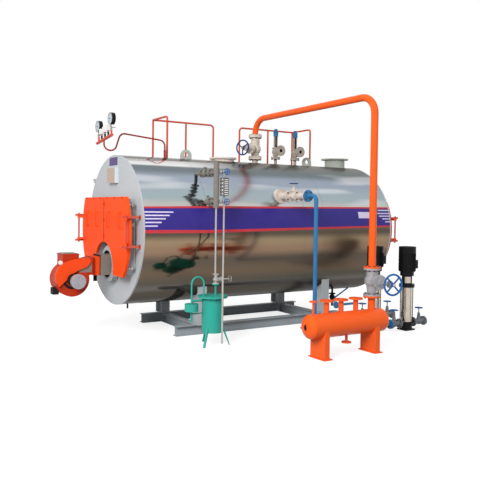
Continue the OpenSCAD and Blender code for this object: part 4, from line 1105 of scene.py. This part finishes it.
class BOILER_OT_front_plate(bpy.types.Operator):
    """Blank label, box lid, hinge nuts and small lug on the front plate"""

    bl_idname = "boiler.front_plate"
    bl_label = "Front plate fittings"

    LABEL = ((-0.002, -0.116, 2.258), (0, 0.177, 2.364))
    LID = ((-0.055, -0.150, 2.024), (-0.052, 0.131, 2.221))
    LUG_FOOT, LUG_EYE, LUG_HALF = (0.010, 0.772, 2.052), (0.010, 0.812, 2.088), 0.016
    HINGE_NUTS = ((-0.012, -0.900, 1.220), (-0.012, -0.900, 1.580))
    # The wire's path over the plate: (y, z)
    WIRE = ((-0.175, 0.790), (-0.172, 0.757), (-0.157, 0.728), (-0.110, 0.702), (-0.060, 0.692),
            (-0.038, 0.690))
    WIRE_X, WIRE_R = -0.018, 0.004

    def execute(self, context):
        piece("blank_label", Shape().block(self.LABEL), "label")
        piece("instrument_lid", Shape().block(self.LID), "box_front")
        lug = Shape().rod(at(*self.LUG_FOOT), at(*self.LUG_EYE), 0.016)
        x, y, z = self.LUG_EYE
        lug.rod(at(x - self.LUG_HALF, y, z), at(x + self.LUG_HALF, y, z), 0.017)
        piece("plate_lug", lug, "skid")
        nuts = Shape()
        for seat in self.HINGE_NUTS:
            nuts.bolt(at(*seat), FRONT, 0.040, 0.012)
        piece("hinge_nuts", nuts, "dark_nut")
        wire = Shape().tube([at(self.WIRE_X, y, z) for y, z in self.WIRE], self.WIRE_R, 8)
        piece("plate_wire", wire, "zinc")
        return {"FINISHED"}


class BOILER_OT_burner(bpy.types.Operator):
    """Seams, grille, fluted ring, feet and motor cap of the burner"""

    bl_idname = "boiler.burner"
    bl_label = "Burner fittings"

    DUCT_Z = 0.940
    FAN = (-0.598, 0.767)
    # Foot under the fan, the stay under the duct and the two seams of the duct
    FOOT = ((-0.826, -0.060, 0.578), (-0.752, 0.060, 0.662))
    STAY_LOW, STAY_HIGH = (-0.255, 0, 0.720), (-0.255, 0, 0.812)
    SEAMS = (((-0.329, -0.153, 0.828), (-0.322, 0.153, 1.046)),
             ((-0.236, -0.1335, 0.806), (-0.229, 0.1335, 1.074)))
    RING_INNER, RING_OUTER, FLUTES, FLUTE_DEPTH = 0.180, 0.245, 28, 0.006
    GRILLE = ((-0.715, -0.112, 1.095), (-0.523, 0.112, 1.099))
    # Side panel of the cover: (x, z)
    PANEL = ((-0.352, 0.985), (-0.426, 0.930), (-0.524, 0.893), (-0.516, 0.855), (-0.352, 0.855))
    PANEL_Y = -0.1505
    CAP_RINGS = (0.022, 0.040, 0.058, 0.076)
    # Section of the dark motor seat, which also gives the painted shade under the motor: (radius, distance
    # along)
    SEAT = ((0.078, 0), (0.112, 0), (0.112, 0.004), (0.078, 0.004))
    SIGHT = ((0.024, 0), (0.027, 0.004), (0.027, 0.030), (0.022, 0.034), (0, 0.034))
    SIGHT_PLACE = (-0.748, -0.098, 0.986)

    def execute(self, context):
        dark = Shape().block(self.FOOT)
        dark.rod(at(*self.STAY_LOW), at(*self.STAY_HIGH), 0.024, 20)
        for seam in self.SEAMS:
            dark.block(seam)
        piece("burner_dark_parts", dark, "black_rubber_and_shade")
        piece("duct_ring", self.fluted_ring(), "foil")
        grille = Shape().block(self.GRILLE)
        half, low, top = 0.108, self.GRILLE[1][2], 1.102
        for i in range(9):
            x = -0.708 + i * 0.021
            grille.block(((x, -half, low), (x + 0.011, half, top)))
        piece("air_grille", grille, "duct")
        panel = Shape().add([at(x, self.PANEL_Y, z) for x, z in self.PANEL], [(0, 1, 2, 3, 4)])
        piece("burner_side_panel", panel, "duct")
        self.motor_end()
        sight = Shape().turned(self.SIGHT, at(*self.SIGHT_PLACE), NEAR, 24)
        piece("flame_sight_glass", sight, "white")
        return {"FINISHED"}

    def fluted_ring(self):
        """A corrugated ring on the plate, round the duct."""
        steps = self.FLUTES * 4
        inner, outer = self.RING_INNER, self.RING_OUTER
        verts, faces = [], []
        for i in range(steps):
            a = 2 * math.pi * i / steps
            wave = self.FLUTE_DEPTH * math.sin(self.FLUTES * a)
            section = ((outer, -0.012), (outer + wave, -0.080),
                       (inner + 0.02, -0.100 - wave), (inner, -0.092))
            for r, x in section:
                verts.append(at(x, r * math.cos(a), self.DUCT_Z + r * math.sin(a)))
        for i in range(steps):
            q, w = 4 * i, 4 * ((i + 1) % steps)
            faces += [(q + k, w + k, w + k + 1, q + k + 1) for k in range(3)]
        return Shape().add(verts, faces)

    def motor_end(self):
        """Rings on the motor's end cover, and the dark seat between motor and fan, set a little low and
        forward so that it also shows as painted shade under the motor.
        """
        x, z = self.FAN
        face, seat, rise = -0.396, -0.150, 0.004
        cap = Shape()
        for r in self.CAP_RINGS:
            cap.turned([(r - rise, 0), (r, rise), (r + rise, 0)], at(x, face, z), NEAR, 40)
        piece("motor_cap_rings", cap, "alloy")
        # Painted shade: the dark seat sits a little forward and low, so its edge shows as a shadow under
        # the motor
        back, drop = 0.014, 0.006
        collar = Shape().turned(self.SEAT, at(x - back, seat, z - drop), NEAR, 48)
        piece("motor_seat", collar, "black_rubber_and_shade")


class BOILER_OT_header(bpy.types.Operator):
    """Handhole and plug on the end of the steam header"""

    bl_idname = "boiler.header"
    bl_label = "Header end"

    # Middle, radius and depth of the dished end
    CENTRE, RADIUS, DEPTH = (1.420, -2.445, 0.372), 0.140, 0.070
    # Half sizes of the oval hole and its rim, across and up
    HOLE, RIM = (0.024, 0.036), (0.034, 0.048)
    PLUG = ((0.013, 0), (0.011, 0.012), (0.004, 0.022), (0, 0.022))
    PLUG_PLACE = (0.100, -0.020, -0.002)

    def execute(self, context):
        piece("header_handhole", self.oval((0.0, 0.0), self.HOLE, 0.0022), "black_rubber_and_shade")
        piece("header_handhole_rim", self.oval(self.HOLE, self.RIM, 0.0045), "pipe")
        plug = Shape().turned(self.PLUG, self.on_head(*self.PLUG_PLACE), FRONT, 16)
        piece("header_plug", plug, "pipe")
        return {"FINISHED"}

    def on_head(self, across, up, lift):
        """A point on the dished end, given from its middle."""
        x, y, z = self.CENTRE
        left = 1 - (across ** 2 + up ** 2) / self.RADIUS ** 2
        return at(x - self.DEPTH * math.sqrt(left) - lift, y + across, z + up)

    def oval(self, inner, outer, lift, sides=32):
        """A flat oval ring, or an oval sheet where the inner sizes are none."""
        verts, faces = [], []
        for i in range(sides):
            a = 2 * math.pi * i / sides
            for half_y, half_z in (inner, outer):
                verts.append(self.on_head(half_y * math.cos(a), half_z * math.sin(a), lift))
            q, w = 2 * i, 2 * ((i + 1) % sides)
            faces.append((q, q + 1, w + 1, w))
        return Shape().add(verts, faces)


class BOILER_OT_wheels(bpy.types.Operator):
    """Nuts on the hubs of the two large handwheels"""

    bl_idname = "boiler.wheels"
    bl_label = "Wheel nuts"

    # Direction of the stem seen from above, in degrees from the rear end
    STEMS = {"main_wheel": 202, "header_wheel": 261}
    HUB_FACE, NUT_SIZE, NUT_HEIGHT = 0.010, 0.040, 0.016

    def execute(self, context):
        for body, degrees in self.STEMS.items():
            low, high = (Vector(corner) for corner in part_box(body))
            turn = math.radians(degrees)
            way = Vector((math.cos(turn), math.sin(turn), 0))
            seat = (low + high) / 2 + way * self.HUB_FACE
            nut = Shape().bolt(seat, way, self.NUT_SIZE, self.NUT_HEIGHT)
            piece(body + "_nut", nut, "zinc", body)
        return {"FINISHED"}


PIECES = [
    BOILER_OT_stage, BOILER_OT_paint, BOILER_OT_banner, BOILER_OT_doors, BOILER_OT_gauges,
    BOILER_OT_flange_bolts, BOILER_OT_pumps, BOILER_OT_glass, BOILER_OT_front_plate,
    BOILER_OT_burner, BOILER_OT_header, BOILER_OT_wheels,
]
SETTINGS = {"boiler_paint": BoilerPaint, "boiler_sizes": BoilerSizes, "boiler_studio": BoilerStudio}


class BOILER_PT_panel(bpy.types.Panel):
    """Lists the pieces and their settings"""

    bl_idname = "BOILER_PT_panel"
    bl_label = "Steam boiler"
    bl_space_type = "VIEW_3D"
    bl_region_type = "UI"
    bl_category = "Boiler"

    def draw(self, context):
        column = self.layout.column()
        for name in SETTINGS:
            group = getattr(context.scene, name)
            for key in group.__annotations__:
                column.prop(group, key)
        for operator in PIECES:
            column.operator(operator.bl_idname)


def register():
    """Adds the settings, the pieces and the panel to Blender."""
    for name, group in SETTINGS.items():
        bpy.utils.register_class(group)
        setattr(bpy.types.Scene, name, PointerProperty(type=group))
    for operator in PIECES:
        bpy.utils.register_class(operator)
    bpy.utils.register_class(BOILER_PT_panel)


def unregister():
    """Takes them out again."""
    bpy.utils.unregister_class(BOILER_PT_panel)
    for operator in reversed(PIECES):
        bpy.utils.unregister_class(operator)
    for name, group in SETTINGS.items():
        delattr(bpy.types.Scene, name)
        bpy.utils.unregister_class(group)


def main():
    """Makes every piece in order."""
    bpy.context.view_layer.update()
    register()
    for operator in PIECES:
        group, name = operator.bl_idname.split(".")
        getattr(getattr(bpy.ops, group), name)()


if __name__ == "__main__":
    main()
